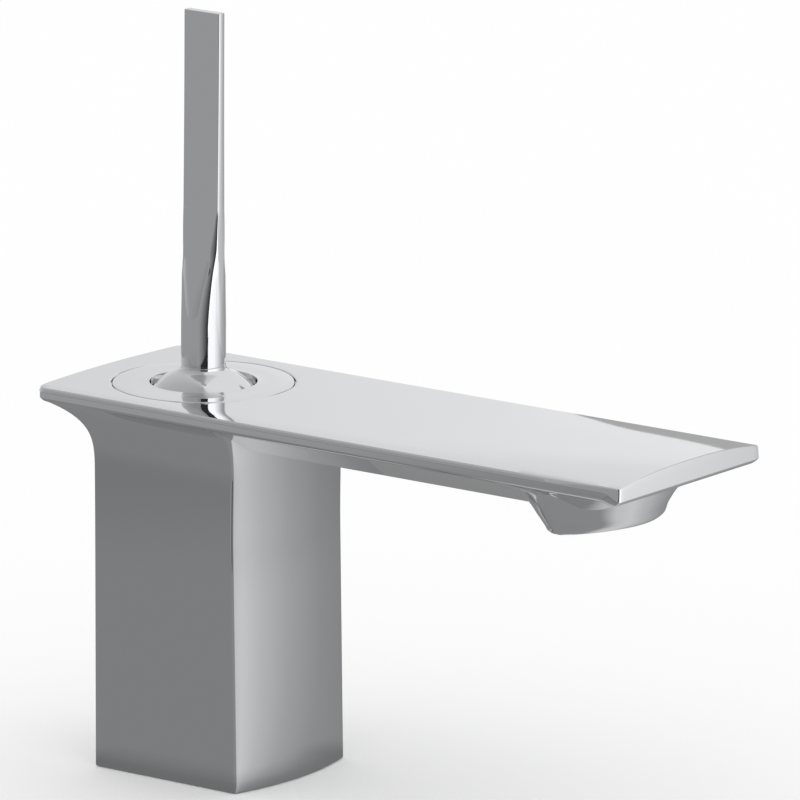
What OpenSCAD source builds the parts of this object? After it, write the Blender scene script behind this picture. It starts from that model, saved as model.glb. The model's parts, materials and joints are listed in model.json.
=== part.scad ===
// Single-hole basin mixer tap with a joystick lever, in millimetres.
// The origin is on the lever's axis at the level of the basin, +X runs along the spout and +Z is up.

/* [Pillar] */
// Width of the pillar across the spout
pillar_w = 49; // [46:0.5:54]
// Lever axis to the back corners of the pillar
pillar_back = 19; // [18.9:0.1:24]
// Lever axis to the front corners of the pillar
pillar_front = 29.9; // [29.9:0.1:36]
// Bulge of the front face between its corners
front_bow = 3.8; // [1:0.1:6]
// Bulge of the back face between its corners
back_bow = 2.6; // [1:0.1:5]
// Radius of the upright corners
pillar_corner_r = 1.2; // [0.6:0.1:2]
// Depth of the core left open in the foot
foot_core_h = 36; // [24:1:40]
// Wall round the foot core
foot_wall = 4.6; // [4.4:0.1:6]

/* [Deck and spout] */
// Height of the flat top over the basin
deck_h = 107.7; // [104:0.5:130]
// Width of the flat top and spout
deck_w = 63.8; // [61:0.2:70]
// Thickness of the plate at its edge
plate_t = 4.2; // [4:0.1:6]
// Lever axis to the back corners of the plate
deck_back = 33.6; // [32:0.1:36]
// Bulge of the plate's back edge
deck_bow = 1.6; // [1:0.1:3]
// Corner radius of the plate at its back
deck_corner_r = 2.5; // [2:0.5:8]
// Corner radius of the plate at the spout's end
tip_corner_r = 0.8; // [0.6:0.1:3]
// Lever axis to the end of the spout
spout_end = 165.7; // [160:0.5:185]
// Height of the flare that joins the pillar to the plate
flare_h = 22.8; // [18:0.1:26]
// Rise of the spout's top at its end
crown_rise = 2.25; // [0.5:0.05:3]
// Length of the rise, measured back from the end
crown_len = 74; // [50:1:90]
// Depth of the spout's belly under the top
belly_depth = 11.8; // [11.4:0.1:14]
// Width of the flat bottom of the belly
belly_w = 39; // [34:0.5:44]

/* [Outlet] */
// Lever axis to the middle of the outlet
outlet_x = 137.9; // [130:0.5:142]
// Depth of the outlet's lip under the top
outlet_depth = 18.2; // [17.6:0.1:22]
// Length of the outlet's lens along the spout
outlet_len = 26.4; // [26:0.2:30]
// Width of the outlet's lens across the spout
outlet_w = 46.4; // [40:0.2:48]
// Radius of the threaded socket for the aerator
aerator_r = 9.25; // [8.5:0.05:9.4]
// Depth of the aerator's socket
aerator_h = 7.6; // [7:0.1:8]

/* [Handle] */
// Depth of the lever's pivot under the flat top
pivot_drop = 13.75; // [13:0.05:14]
// Radius of the domed skirt
dome_r = 18.6; // [18.2:0.05:18.8]
// Angle from the lever's axis to the skirt's edge
skirt_angle = 76; // [72:0.5:78]
// Radius of the round foot of the lever
stem_r = 6.2; // [6:0.05:6.6]
// Height of the lever's tip over the flat top
lever_h = 104.2; // [80:0.1:120]
// Breadth of the blade along the spout
blade_w = 11.9; // [10:0.1:14]
// Thickness of the blade at its tip
blade_t = 2.5; // [1.6:0.1:4]
// Side of the square spindle
spindle_s = 5.6; // [5:0.1:5.8]
// Forward tilt of the lever from shut to full flow
tilt_max = 22; // [15:1:22]

/* [Trim ring] */
// Outer radius of the ring let into the top
ring_r = 25.3; // [23:0.1:26]
// Radius of the hole round the dome
ring_hole_r = 14.87; // [14.6:0.01:15.2]
// Thickness of the ring's flange
ring_t = 2; // [1.4:0.1:2]
// Outer radius of the ring's sleeve
sleeve_r = 21.3; // [20.9:0.1:21.4]

/* [Cartridge] */
// Radius of the cartridge
cartridge_r = 17.5; // [17.2:0.1:17.5]
// Radius of the neck that carries the rotor
neck_r = 12; // [11.8:0.1:12.2]
// Radius of the rotor's stem
rotor_r = 9.95; // [9.7:0.05:10]
// Lever pivot to the centre of its lower ball
ball_arm = 15; // [14:0.1:15.2]
// Radius of the lower ball
ball_r = 3; // [2.6:0.1:3.1]
// Radius of the pivot pin
pin_r = 1.5; // [1.2:0.05:1.8]
// Radius of the moving disc
moving_disc_r = 10; // [9.8:0.1:10.1]
// Thickness of the moving disc
moving_disc_t = 3.6; // [3:0.1:4]
// Thickness of the fixed disc
fixed_disc_t = 4; // [3:0.1:4.5]
// Radius of the retaining nut
nut_r = 18.9; // [18.4:0.1:19]
// Height of the retaining nut
nut_h = 4.9; // [4:0.1:5.2]

/* [Connections] */
// Radius of the threaded inlet ports for M10 hoses
inlet_r = 4.5; // [4:0.05:4.8]
// Depth of the inlet ports
inlet_len = 12; // [8:0.5:12]
// Radius of the threaded hole for the M8 fixing stud
stud_r = 3.35; // [2.5:0.05:3.4]
// Depth of the stud's hole
stud_len = 10; // [8:0.5:11]

/* [Hidden] */

$fn = 64;
fit = 0.1;              // clearance round a seated piece
running = 0.05;         // clearance round a turning piece
fine = 0.2;             // clearance under a sliding piece
over = 1;               // how far a cut runs past a face

// Surfaces of the casting
foot_chamfer = 0.5;
flare_power = 4.6;      // how late the flare spreads at the sides and the back
front_power = 3.2;      // the same at the front
front_flare = 15;       // reach of the flare in front of the pillar
flare_corner = 11;      // extra corner radius at the front of the flare
plate_bevel = 1;        // inset of the plate's lower edge
plate_ends = 5;         // segments from the middle of the spout's end to its corner
plate_run = 14;         // segments along each side of the plate
belly_lip = 1.6;        // inset of the belly where it meets the plate
lens_tip = 0.7;         // lens's tips ahead of the aerator

// Groove and gasket of the foot
gasket_out = 1.2;
gasket_in = 3.4;
gasket_h = 2.5;

// Levels, all worked down from the flat top
pivot_z = deck_h - pivot_drop;
sleeve_h = 5;
neck_rise = 3.75;
skirt_gap = 1.1;        // left between the nut and the tilted skirt
skirt_z = pivot_z + dome_r * cos(skirt_angle);
neck_top = pivot_z + neck_rise;
nut_top = pivot_z - dome_r * sin(skirt_angle + tilt_max - 90) - skirt_gap;
shoulder_z = nut_top - nut_h;
roof_t = 1.8;
flange_t = 2.5;
flange_top = shoulder_z - roof_t - fine;
flange_z = flange_top - flange_t;
ball_z = pivot_z - ball_arm;
carrier_top = flange_z - fine;
socket_gap = 0.35;      // left under the ball
carrier_floor_t = 1.3;
socket_floor = ball_z - ball_r - socket_gap;
carrier_z = socket_floor - carrier_floor_t;
moving_z = carrier_z - moving_disc_t;
fixed_z = moving_z - fixed_disc_t;
disc_seal_t = 2;
base_top = fixed_z - fine;
base_spigot_h = 3;      // part of the base inside the housing
base_flange_h = 5;
base_flange_top = base_top - base_spigot_h;
base_z = base_flange_top - base_flange_h;
seat_gap = 0.3;         // taken up by the port seals
seat_z = base_z - seat_gap;
housing_wall = 1.6;
cavity_r = cartridge_r - housing_wall;
slide_max = ball_arm * sin(tilt_max);

// Trim ring's seal in its groove
dome_room = 0.6;        // between the dome and the ring's sleeve
seal_section_r = 0.65;
seal_squeeze = 0.02;
seal_r = sleeve_r + fine - seal_section_r - seal_squeeze;
seal_z = deck_h - ring_t - sleeve_h / 2;

// Nut's notches and housing's grip slots
notch_w = 4;
notch_h = 2.4;
grip_slots = 12;
grip_slot_h = 7;

// Ports of the cartridge: hot and cold at the back, mixed water at the front
inlet_angle = 144;
inlet_ring_r = 7.5;
inlet_port_r = 2.2;
outlet_port_x = 4.8;
outlet_port_r = 3.1;
base_inlet = [-6.5, 7.5];
base_inlet_r = 3;
base_outlet_x = 8.5;
base_outlet_r = 3.3;
port_seal_t = 1.8;
port_seal_w = 1.2;
seal_land = 2;          // wall left round the disc seal
peg_y = 13.6;
peg_r = 1.5;
peg_h = 2;

// Waterway of the casting
cross_z = seat_z - 6.4;
way_r = 3.2;
riser_x = 26;
channel_w = 26;
channel_h = 6;
channel_z = deck_h - 9.3;
stud_x = 13;
aerator_recess = 1;     // aerator's face above the outlet's lip
aerator_shoulder = deck_h - outlet_depth + aerator_recess + aerator_h;
aerator_way_r = aerator_r - 1.5;

// Carrier, rotor and spindle
disc_recess_x = 0.6;    // where the moving disc's recess begins
disc_recess_h = 1.8;
disc_rim = 1.4;
lug_r = 1.2;
lug_h = 1.2;
lug_y = 7.6;
socket_wall = 2.4;
socket_fit = 0.15;
carrier_flat = 3;       // from the disc's edge to the carrier's flats
rail_y = 6.4;
rail_h = 2.4;
rail_w = 2.4;
rail_len = 16;
slot_w = 2 * ball_r + 1.2;
slot_end = 0.5;         // left between the ball and the slot's end
slot_top_l = 11.2;      // length of the slot round the pin
slot_step_z = pivot_z - 7;
hub_w = slot_w - 2 * fit;
hub_wall = 1.9;
neck_pin_r = 2.2;       // narrow part of the spindle above its ball
pin_inset = 0.25;

// Dome and lever
shell_t = 1.7;
boss_r = 8.5;
dome_seat_z = pivot_z + sqrt(dome_r * dome_r - stem_r * stem_r);
spigot_r = 5;
hub_z = deck_h - 4;
spindle_top = deck_h + 15;
round_h = 12;           // top of the lever's round part over the flat top
lever_lean = 0.55;      // forward lean of the lever when shut, in degrees
blade_h = 44;           // where the blade is fully formed
blade_root_t = 3.3;
edge_r = 0.25;
screw_r = 2;
screw_z = deck_h + 9;
screw_inset = 0.25;
screw_key_r = 1.1;
screw_key_h = 1.5;

// Aerator
aerator_z = aerator_shoulder - aerator_h + fine;
aerator_seal_t = 1.2;
aerator_bore_r = aerator_r - 1.6;
ledge_r = aerator_bore_r - 0.7;
insert_z = aerator_z + 0.8;
straightener_h = 3.6;
screen_t = 0.7;

// Plain helpers

// Points of a rounded rectangle with bowed ends, seen from above, starting at the middle of its back
function bowed(x0, x1, hw, r0, r1, bow0, bow1, run = 1, ends = 6, arc = 6) =
    let (
        mid = (x0 + x1) / 2,
        half = (x1 - x0) / 2,
        lower = concat(
            [for (i = [0:ends - 1]) [x0, -(hw - r0) * i / ends]],
            [for (i = [0:arc]) let (a = 180 + 90 * i / arc) [x0 + r0 + r0 * cos(a), -hw + r0 + r0 * sin(a)]],
            [for (i = [1:1:run - 1]) [x0 + r0 + (x1 - r1 - x0 - r0) * i / run, -hw]],
            [for (i = [0:arc]) let (a = 270 + 90 * i / arc) [x1 - r1 + r1 * cos(a), -hw + r1 + r1 * sin(a)]],
            [for (i = [1:ends]) [x1, -(hw - r1) * (1 - i / ends)]]
        ),
        upper = [for (i = [len(lower) - 2:-1:1]) [lower[i][0], -lower[i][1]]]
    )
    [for (p = concat(lower, upper))
        let (s = (p[0] - mid) / half, b = s > 0 ? bow1 : bow0)
        [p[0] + b * s * (1 - pow(p[1] / hw, 2)), p[1]]];

// A ring of points lifted to a level
function lift(points, z) = [for (p = points) [p[0], p[1], z]];

// Closed skin over a stack of rings that all have the same number of points
module skin(rings) {
    n = len(rings[0]);
    m = len(rings);
    walls = [for (j = [0:m - 2]) for (i = [0:n - 1]) let (k = (i + 1) % n)
        each [[j * n + i, (j + 1) * n + k, j * n + k], [j * n + i, (j + 1) * n + i, (j + 1) * n + k]]];
    bottom = [[for (i = [0:n - 1]) i]];
    top = [[for (i = [n - 1:-1:0]) (m - 1) * n + i]];
    polyhedron([for (r = rings) each r], concat(bottom, walls, top), convexity = 6);
}

// Upright cylinder between two levels
module rod(r, z0, z1, x = 0, y = 0) {
    translate([x, y, z0]) cylinder(r = r, h = z1 - z0);
}

// Upright tube between two levels
module tube(r_out, r_in, z0, z1) {
    difference() {
        rod(r_out, z0, z1);
        rod(r_in, z0 - over, z1 + over);
    }
}

// Round section ring lying flat
module o_ring(r, section_r, z) {
    translate([0, 0, z]) rotate_extrude() translate([r, 0]) circle(r = section_r, $fn = 24);
}

// The same shape at both hot and cold sides
module hot_and_cold() {
    children();
    mirror([0, 1, 0]) children();
}

// Casting

// Ring of the pillar; rise runs from 0 at the flare's foot to 1 at the plate
function pillar_ring(inset = 0, rise = 0) =
    let (g = pow(rise, flare_power), f = pow(rise, front_power))
    bowed(
        -pillar_back + inset - (deck_back - plate_bevel - pillar_back) * g,
        pillar_front - inset + front_flare * f,
        pillar_w / 2 - inset + (deck_w / 2 - plate_bevel - pillar_w / 2) * g,
        pillar_corner_r + (deck_corner_r - plate_bevel / 2 - pillar_corner_r) * g,
        pillar_corner_r + flare_corner * f,
        back_bow + (deck_bow - back_bow) * g,
        front_bow * (1 - f / 2)
    );

module pillar() {
    flare_z = deck_h - plate_t - flare_h;
    steps = 9;
    skin(concat(
        [lift(pillar_ring(foot_chamfer), 0), lift(pillar_ring(), foot_chamfer)],
        [for (i = [0:steps]) let (rise = 1 - pow(1 - i / steps, 1.6))
            lift(pillar_ring(0, rise), flare_z + flare_h * rise)],
        [lift(pillar_ring(0, 1), deck_h - plate_t / 2)]
    ));
}

// Rise of the top over its flat part
function crown(x, y) =
    let (s = max(0, min(1, (x - spout_end + crown_len) / crown_len)), g = s * s * (3 - 2 * s))
    crown_rise * g * (1 - pow(y / (deck_w / 2 - 2.9), 2));

function plate_ring(inset) =
    bowed(-deck_back + inset, spout_end - inset, deck_w / 2 - inset,
        deck_corner_r - inset / 2, max(tip_corner_r - inset / 2, 0.3), deck_bow, 0, plate_run, plate_ends, 5);

// Plate whose top surface is a grid that follows the crown
module plate() {
    edge = [[plate_bevel, -plate_t], [0.15, -plate_t * 0.79], [0, -plate_t * 0.55], [0.3, -0.5], [0.75, 0]];
    rings = [for (e = edge) [for (p = plate_ring(e[0]))
        [p[0], p[1], deck_h + e[1] + (e[1] > -1 ? crown(p[0], p[1]) : 0)]]];
    n = len(rings[0]);
    m = len(rings);
    top = (m - 1) * n;
    last = n / 2 - plate_ends;      // the row that is the straight end itself
    cols = 2 * plate_ends;
    base = n * m;
    inner = [for (i = [1:last - 1]) for (c = [1:cols - 1])
        let (a = rings[m - 1][i], y = a[1] * (1 - 2 * c / cols)) [a[0], y, deck_h + crown(a[0], y)]];
    // index of a point of the top grid, on its rim or inside
    function at(i, c) = i == last ? top + i + c
        : c == 0 ? top + i
        : c == cols ? top + n - i
        : base + (i - 1) * (cols - 1) + c - 1;
    walls = [for (j = [0:m - 2]) for (i = [0:n - 1]) let (k = (i + 1) % n)
        each [[j * n + i, (j + 1) * n + k, j * n + k], [j * n + i, (j + 1) * n + i, (j + 1) * n + k]]];
    grid = [for (i = [1:last - 1]) for (c = [0:cols - 1])
        each [[at(i, c), at(i, c + 1), at(i + 1, c)], [at(i, c + 1), at(i + 1, c + 1), at(i + 1, c)]]];
    back_fan = [for (c = [0:cols - 1]) [top, at(1, c + 1), at(1, c)]];
    under = [for (i = [1:last - 2]) each [[i, i + 1, n - i], [i + 1, n - i - 1, n - i]]];
    under_fan = [for (c = [0:cols - 1]) [last - 1, last + c, last + c + 1]];
    polyhedron(concat([for (r = rings) each r], inner),
        concat([[0, 1, n - 1]], under, under_fan, [[last - 1, n - last, n - last + 1]], walls, grid, back_fan),
        convexity = 6);
}

module belly() {
    lip = deck_w / 2 - belly_lip;
    run_out = 21.5;
    levels = [
        [belly_w / 2 - 1.2, -belly_depth, 9], [belly_w / 2 + 0.3, -belly_depth + 0.25, 9.6],
        [belly_w / 2 + 1.6, -belly_depth + 0.9, 10.6], [lip, -plate_t, run_out], [lip, -plate_t / 2, run_out]
    ];
    skin([for (l = levels) lift(bowed(10, outlet_x + l[2], l[0], 2, 6, 1, 2), deck_h + l[1])]);
}

// Lens of the outlet at one level: its tips' x, its reach to the front and the back, its half width
// and how square it is
function lens(cx, front, back, b, square, n = 56) =
    [for (i = [0:n - 1])
        let (c = cos(360 * i / n), s = sin(360 * i / n), a = c > 0 ? front : back, full = c > 0 ? 0.41 : 2.5)
        [cx + a * sign(c) * pow(abs(c), square) * sqrt((c * c + full) / (1 + full)),
            b * sign(s) * pow(abs(s), square)]];

module outlet_boss() {
    a = outlet_len / 2;
    b = outlet_w / 2;
    cx = outlet_x + lens_tip;
    levels = [
        [0, -2.6, -1.2, -0.8, -outlet_depth, 1], [0, -1.3, 0, -0.2, -outlet_depth + 0.3, 1],
        [0, -0.5, 0.5, 0, -outlet_depth + 1, 1], [-0.9, 1.4, 0.4, 0.8, -15.5, 1], [-1.5, 3, 1.3, 1.5, -13.8, 1],
        [-1.9, 5.2, 3.2, 2.7, -11.2, 1], [-2.3, 7.5, 5.8, 4, -8.85, 1], [-3, 9.7, 7.8, 5.1, -7.2, 1],
        [-3.8, 13.3, 9.8, 6.3, -5.9, 1], [-8, 20, 9.8, 6.8, -4.9, 0.75],
        [-14, 26.6, 8.8, 7, -plate_t, 0.55], [-14, 26.6, 8.8, 7, -plate_t / 2, 0.55]
    ];
    skin([for (l = levels) lift(lens(cx + l[0], a + l[1], a + l[2], b + l[3], l[5]), deck_h + l[4])]);
}

module foot_outline(inset) {
    polygon([for (p = pillar_ring(inset)) p]);
}

module body_casting() {
    color("silver") difference() {
        union() {
            pillar();
            plate();
            belly();
            outlet_boss();
        }
        // Seats of the trim ring, the dome, the nut and the cartridge
        rod(ring_r + fit, deck_h - ring_t, deck_h + crown_rise + over);
        rod(sleeve_r + fine, deck_h - ring_t - sleeve_h - fine, deck_h);
        rod(dome_r + 1.2, nut_top, deck_h);
        rod(nut_r + fit, shoulder_z - fit, deck_h);
        rod(cartridge_r + fit, seat_z, deck_h);
        hot_and_cold() rod(peg_r + fit, seat_z - peg_h - fit, seat_z + over, 0, peg_y);
        // Hot and cold ways up from the foot
        hot_and_cold() rod(base_inlet_r, foot_core_h, seat_z + over, base_inlet[0], base_inlet[1]);
        hot_and_cold() rod(inlet_r, foot_core_h - over, foot_core_h + inlet_len, base_inlet[0], base_inlet[1]);
        rod(stud_r, foot_core_h - over, foot_core_h + stud_len, stud_x);
        // Mixed water: well, cross way, riser, spout channel and outlet
        rod(base_outlet_r, cross_z, seat_z + over, base_outlet_x);
        translate([base_outlet_x, 0, cross_z]) rotate([0, 90, 0]) cylinder(r = way_r, h = riser_x - base_outlet_x);
        rod(way_r, cross_z, channel_z + over, riser_x);
        translate([riser_x - way_r, -channel_w / 2, channel_z])
            cube([outlet_x - riser_x + way_r, channel_w, channel_h]);
        rod(aerator_way_r, aerator_shoulder - over, channel_z + channel_h, outlet_x);
        rod(aerator_r, deck_h - outlet_depth - over, aerator_shoulder, outlet_x);
        // Open core of the foot and the groove of its gasket
        translate([0, 0, -over]) linear_extrude(foot_core_h + over) foot_outline(foot_wall);
        translate([0, 0, -over]) linear_extrude(gasket_h + fit + over) difference() {
            foot_outline(gasket_out - fit);
            foot_outline(gasket_in + fit);
        }
    }
}

module foot_gasket() {
    color("dimgray") linear_extrude(gasket_h) difference() {
        foot_outline(gasket_out);
        foot_outline(gasket_in);
    }
}

// Trim ring and its seal

module trim_ring() {
    color("silver") difference() {
        union() {
            rod(ring_r - 0.15, deck_h - 0.15, deck_h);
            rod(ring_r, deck_h - ring_t + 0.02, deck_h - 0.15);
            rod(sleeve_r, deck_h - ring_t - sleeve_h, deck_h - ring_t + 0.1);
        }
        rod(ring_hole_r, deck_h - ring_t - over, deck_h + over);
        rod(dome_r + dome_room, deck_h - ring_t - sleeve_h - over, deck_h - ring_t);
        difference() {
            rod(sleeve_r + over, seal_z - seal_section_r - fit, seal_z + seal_section_r + fit);
            rod(seal_r - seal_section_r, seal_z - over, seal_z + over);
        }
    }
}

module trim_ring_seal() {
    color("dimgray") o_ring(seal_r, seal_section_r, seal_z);
}

// Cartridge

module cartridge_nut() {
    color("goldenrod") difference() {
        tube(nut_r, neck_r + 0.4, shoulder_z, nut_top);
        for (i = [0:3]) rotate(45 + 90 * i)
            translate([neck_r, -notch_w / 2, nut_top - notch_h]) cube([notch_w, notch_w, notch_h + over]);
    }
}

module cartridge_housing() {
    color("whitesmoke") difference() {
        union() {
            rod(neck_r, shoulder_z - over, neck_top);
            rod(cartridge_r, base_flange_top, shoulder_z);
        }
        rod(rotor_r + running, shoulder_z - roof_t - over, neck_top + over);
        rod(cavity_r, base_flange_top - over, shoulder_z - roof_t);
        // Grip slots round the outside
        for (i = [1:grip_slots]) rotate(360 / grip_slots * i)
            translate([cartridge_r - housing_wall / 2, -1, base_flange_top - over])
                cube([over, 2, grip_slot_h + over]);
    }
}

module disc_ports(z0, z1, r = inlet_port_r) {
    hot_and_cold() rod(r, z0, z1, inlet_ring_r * cos(inlet_angle), inlet_ring_r * sin(inlet_angle));
    rod(outlet_port_r + r - inlet_port_r, z0, z1, outlet_port_x);
}

module cartridge_base() {
    mid_z = (base_top + base_z) / 2;
    color("gainsboro") difference() {
        union() {
            rod(cavity_r - fit, base_flange_top - over, base_top);
            rod(cartridge_r, base_z, base_flange_top);
            hot_and_cold() rod(peg_r, base_z - peg_h, base_z + over, 0, peg_y);
        }
        disc_ports(mid_z, base_top + over);
        hot_and_cold() rod(base_inlet_r, base_z - over, mid_z, base_inlet[0], base_inlet[1]);
        rod(base_outlet_r, base_z - over, mid_z, base_outlet_x);
        // Recesses of the seals
        rod(cavity_r - seal_land, fixed_z - disc_seal_t, base_top + over);
        seal_top = seat_z + port_seal_t + fit / 2;
        hot_and_cold() rod(base_inlet_r + port_seal_w + fit, base_z - over, seal_top, base_inlet[0], base_inlet[1]);
        rod(base_outlet_r + port_seal_w + fit, base_z - over, seal_top, base_outlet_x);
    }
}

module port_seal(x, y, bore_r) {
    translate([x, y, 0]) tube(bore_r + port_seal_w, bore_r, seat_z, seat_z + port_seal_t);
}

module port_seals() {
    color("dimgray") {
        hot_and_cold() port_seal(base_inlet[0], base_inlet[1], base_inlet_r);
        port_seal(base_outlet_x, 0, base_outlet_r);
    }
}

module disc_seal() {
    color("dimgray") difference() {
        rod(cavity_r - seal_land - fit, fixed_z - disc_seal_t, fixed_z);
        disc_ports(fixed_z - disc_seal_t - over, fixed_z + over, inlet_port_r + 0.1);
    }
}

module fixed_disc() {
    color("ivory") difference() {
        rod(cavity_r - fine, fixed_z, moving_z);
        disc_ports(fixed_z - over, moving_z + over);
    }
}

// The moving disc's recess joins the open inlets to the outlet once the disc has slid back
module moving_disc() {
    color("ivory") difference() {
        rod(moving_disc_r, moving_z, carrier_z);
        intersection() {
            rod(moving_disc_r - disc_rim, moving_z - over, moving_z + disc_recess_h);
            translate([disc_recess_x, -moving_disc_r, moving_z - over])
                cube([moving_disc_r, 2 * moving_disc_r, disc_recess_h + over]);
        }
        hot_and_cold() rod(lug_r + running, carrier_z - lug_h - fit, carrier_z + over, 0, lug_y);
    }
}

module disc_carrier() {
    color("darkorange") difference() {
        union() {
            rod(moving_disc_r, carrier_z, ball_z - ball_r);
            rod(ball_r + socket_wall, carrier_z, carrier_top);
            hot_and_cold() rod(lug_r, carrier_z - lug_h, carrier_z + over, 0, lug_y);
            // Flats that slide between the rotor's rails
            translate([carrier_flat - moving_disc_r, fine - rail_y, carrier_z])
                cube([2 * (moving_disc_r - carrier_flat), 2 * (rail_y - fine), carrier_top - carrier_z - 2 * fine]);
        }
        rod(ball_r + socket_fit, socket_floor, carrier_top + over);
    }
}

module rotor() {
    color("white") difference() {
        union() {
            rod(rotor_r, flange_z, neck_top - fine);
            rod(cavity_r - fine, flange_z, flange_top);
            // Rails under the flange
            hot_and_cold() intersection() {
                rod(cavity_r - fine, flange_z - rail_h, flange_z + over);
                translate([-rail_len / 2, rail_y, flange_z - rail_h])
                    cube([rail_len, rail_w, rail_h + over]);
            }
        }
        // Slot of the lever, long toward the back low down and toward the front high up
        translate([-slide_max - ball_r - slot_end, -slot_w / 2, flange_z - over])
            cube([slide_max + 2 * (ball_r + slot_end), slot_w, slot_step_z - flange_z + 2 * over]);
        translate([-slot_top_l / 2, -slot_w / 2, slot_step_z]) cube([slot_top_l, slot_w, neck_top - slot_step_z]);
        rotate_about_pin() cylinder(r = pin_r + running, h = 2 * rotor_r + over, center = true);
    }
}

module rotate_about_pin() {
    translate([0, 0, pivot_z]) rotate([90, 0, 0]) children();
}

module pivot_pin() {
    color("lightgray") rotate_about_pin() cylinder(r = pin_r, h = 2 * (rotor_r - pin_inset), center = true);
}

// Lever and what it carries

module lever_spindle() {
    color("goldenrod") difference() {
        union() {
            translate([-spindle_s / 2, -spindle_s / 2, pivot_z]) cube([spindle_s, spindle_s, spindle_top - pivot_z]);
            rotate_about_pin() cylinder(r = pin_r + hub_wall, h = hub_w, center = true);
            rod(neck_pin_r, ball_z, pivot_z);
            translate([0, 0, ball_z]) sphere(r = ball_r);
        }
        rotate_about_pin() cylinder(r = pin_r + running, h = hub_w + over, center = true);
    }
}

module handle_dome() {
    color("silver") difference() {
        union() {
            difference() {
                translate([0, 0, pivot_z]) sphere(r = dome_r, $fn = 96);
                translate([0, 0, pivot_z]) sphere(r = dome_r - shell_t, $fn = 96);
            }
            rod(boss_r, hub_z, dome_seat_z - shell_t + 0.5);
        }
        translate([-dome_r - over, -dome_r - over, pivot_z - dome_r - over])
            cube([2 * dome_r + 2 * over, 2 * dome_r + 2 * over, dome_r + over + skirt_z - pivot_z]);
        rod(dome_r, dome_seat_z, dome_seat_z + 5);
        rod(spigot_r + running, hub_z - over, dome_seat_z + over);
    }
}

// Section of the lever: half breadth, half thickness and corner radius
function lever_section(a, b, c, n = 10) =
    [for (q = [0:3]) for (i = [0:n])
        let (t = 90 * q + 90 * i / n, sx = q == 0 || q == 3 ? 1 : -1, sy = q < 2 ? 1 : -1)
        [sx * (a - c) + c * cos(t), sy * (b - c) + c * sin(t)]];

function ease(s) = s * s * (3 - 2 * s);

// Section of the lever moved forward by its lean
function leaning(points, z) =
    let (x = (z - dome_seat_z) * tan(lever_lean)) [for (p = points) [p[0] + x, p[1], z]];

module handle_lever() {
    steps = 10;
    stem_corner = stem_r - 0.05;
    foot = [leaning(lever_section(stem_r, stem_r, stem_corner), dome_seat_z)];
    morph = [for (i = [0:steps]) let (s = i / steps, e = ease(s))
        leaning(lever_section(
            stem_r + (blade_w / 2 - 0.15 - stem_r) * e,
            stem_r + (blade_root_t / 2 - stem_r) * e,
            edge_r + (stem_corner - edge_r) * pow(1 - e, 2)),
            deck_h + round_h + (blade_h - round_h) * s)];
    tip = [leaning(lever_section(blade_w / 2, blade_t / 2, edge_r), deck_h + lever_h)];
    color("silver") difference() {
        union() {
            skin(concat(foot, morph, tip));
            rod(spigot_r, hub_z + fine, dome_seat_z + over);
        }
        translate([-spindle_s / 2 - running, -spindle_s / 2 - running, hub_z - over])
            cube([spindle_s + 2 * running, spindle_s + 2 * running, spindle_top + fine - hub_z + over]);
        translate([-stem_r - over, 0, screw_z]) rotate([0, 90, 0]) cylinder(r = screw_r + running, h = stem_r + over);
    }
}

module grub_screw() {
    screw_len = stem_r - spindle_s / 2 - screw_inset;
    color("dimgray") translate([screw_inset - stem_r, 0, screw_z]) rotate([0, 90, 0]) difference() {
        cylinder(r = screw_r, h = screw_len);
        translate([0, 0, -over]) cylinder(r = screw_key_r, h = screw_key_h + over, $fn = 6);
    }
}

// Aerator

module aerator_housing() {
    color("silver") translate([outlet_x, 0, 0]) difference() {
        rod(aerator_r - fit / 2, aerator_z, aerator_shoulder - aerator_seal_t);
        rod(aerator_bore_r, insert_z, aerator_shoulder);
        rod(ledge_r, aerator_z - over, insert_z + over);
    }
}

module aerator_seal() {
    color("dimgray") translate([outlet_x, 0, 0])
        tube(aerator_r - fit, aerator_way_r, aerator_shoulder - aerator_seal_t, aerator_shoulder);
}

// Round plate pierced by a hexagonal pattern of holes
module pierced(r, z0, z1, pitch, hole_r, rim) {
    row_pitch = pitch * sin(60);
    rows = floor((r - rim) / row_pitch);
    difference() {
        rod(r, z0, z1, outlet_x);
        for (j = [-rows:rows]) for (i = [-rows:rows])
            let (x = (i + (j % 2 == 0 ? 0 : 0.5)) * pitch, y = j * row_pitch)
            if (norm([x, y]) + hole_r < r - rim)
                translate([outlet_x + x, y, z0 - over]) rotate(30)
                    cylinder(r = hole_r, h = z1 - z0 + 2 * over, $fn = 6);
    }
}

module flow_straightener() {
    color("whitesmoke") pierced(aerator_bore_r - fit, insert_z, insert_z + straightener_h, 2.4, 1.15, 0.8);
}

module aerator_screen() {
    screen_z = insert_z + straightener_h;
    color("gray") pierced(aerator_bore_r - fit, screen_z, screen_z + screen_t, 1.9, 0.7, 0.8);
}

body_casting();
foot_gasket();
trim_ring();
trim_ring_seal();
cartridge_nut();
cartridge_housing();
cartridge_base();
port_seals();
disc_seal();
fixed_disc();
moving_disc();
disc_carrier();
rotor();
pivot_pin();
lever_spindle();
handle_dome();
handle_lever();
grub_screw();
aerator_housing();
aerator_seal();
aerator_screen();
flow_straightener();
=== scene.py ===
"""Looks of a single-hole basin mixer tap with a joystick lever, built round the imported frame."""

import json
import logging
import math
from dataclasses import dataclass
from enum import Enum
from functools import cache, partial
from typing import Callable, Iterable, Sequence

import bmesh
import bpy
from mathutils import Matrix, Vector


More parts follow.
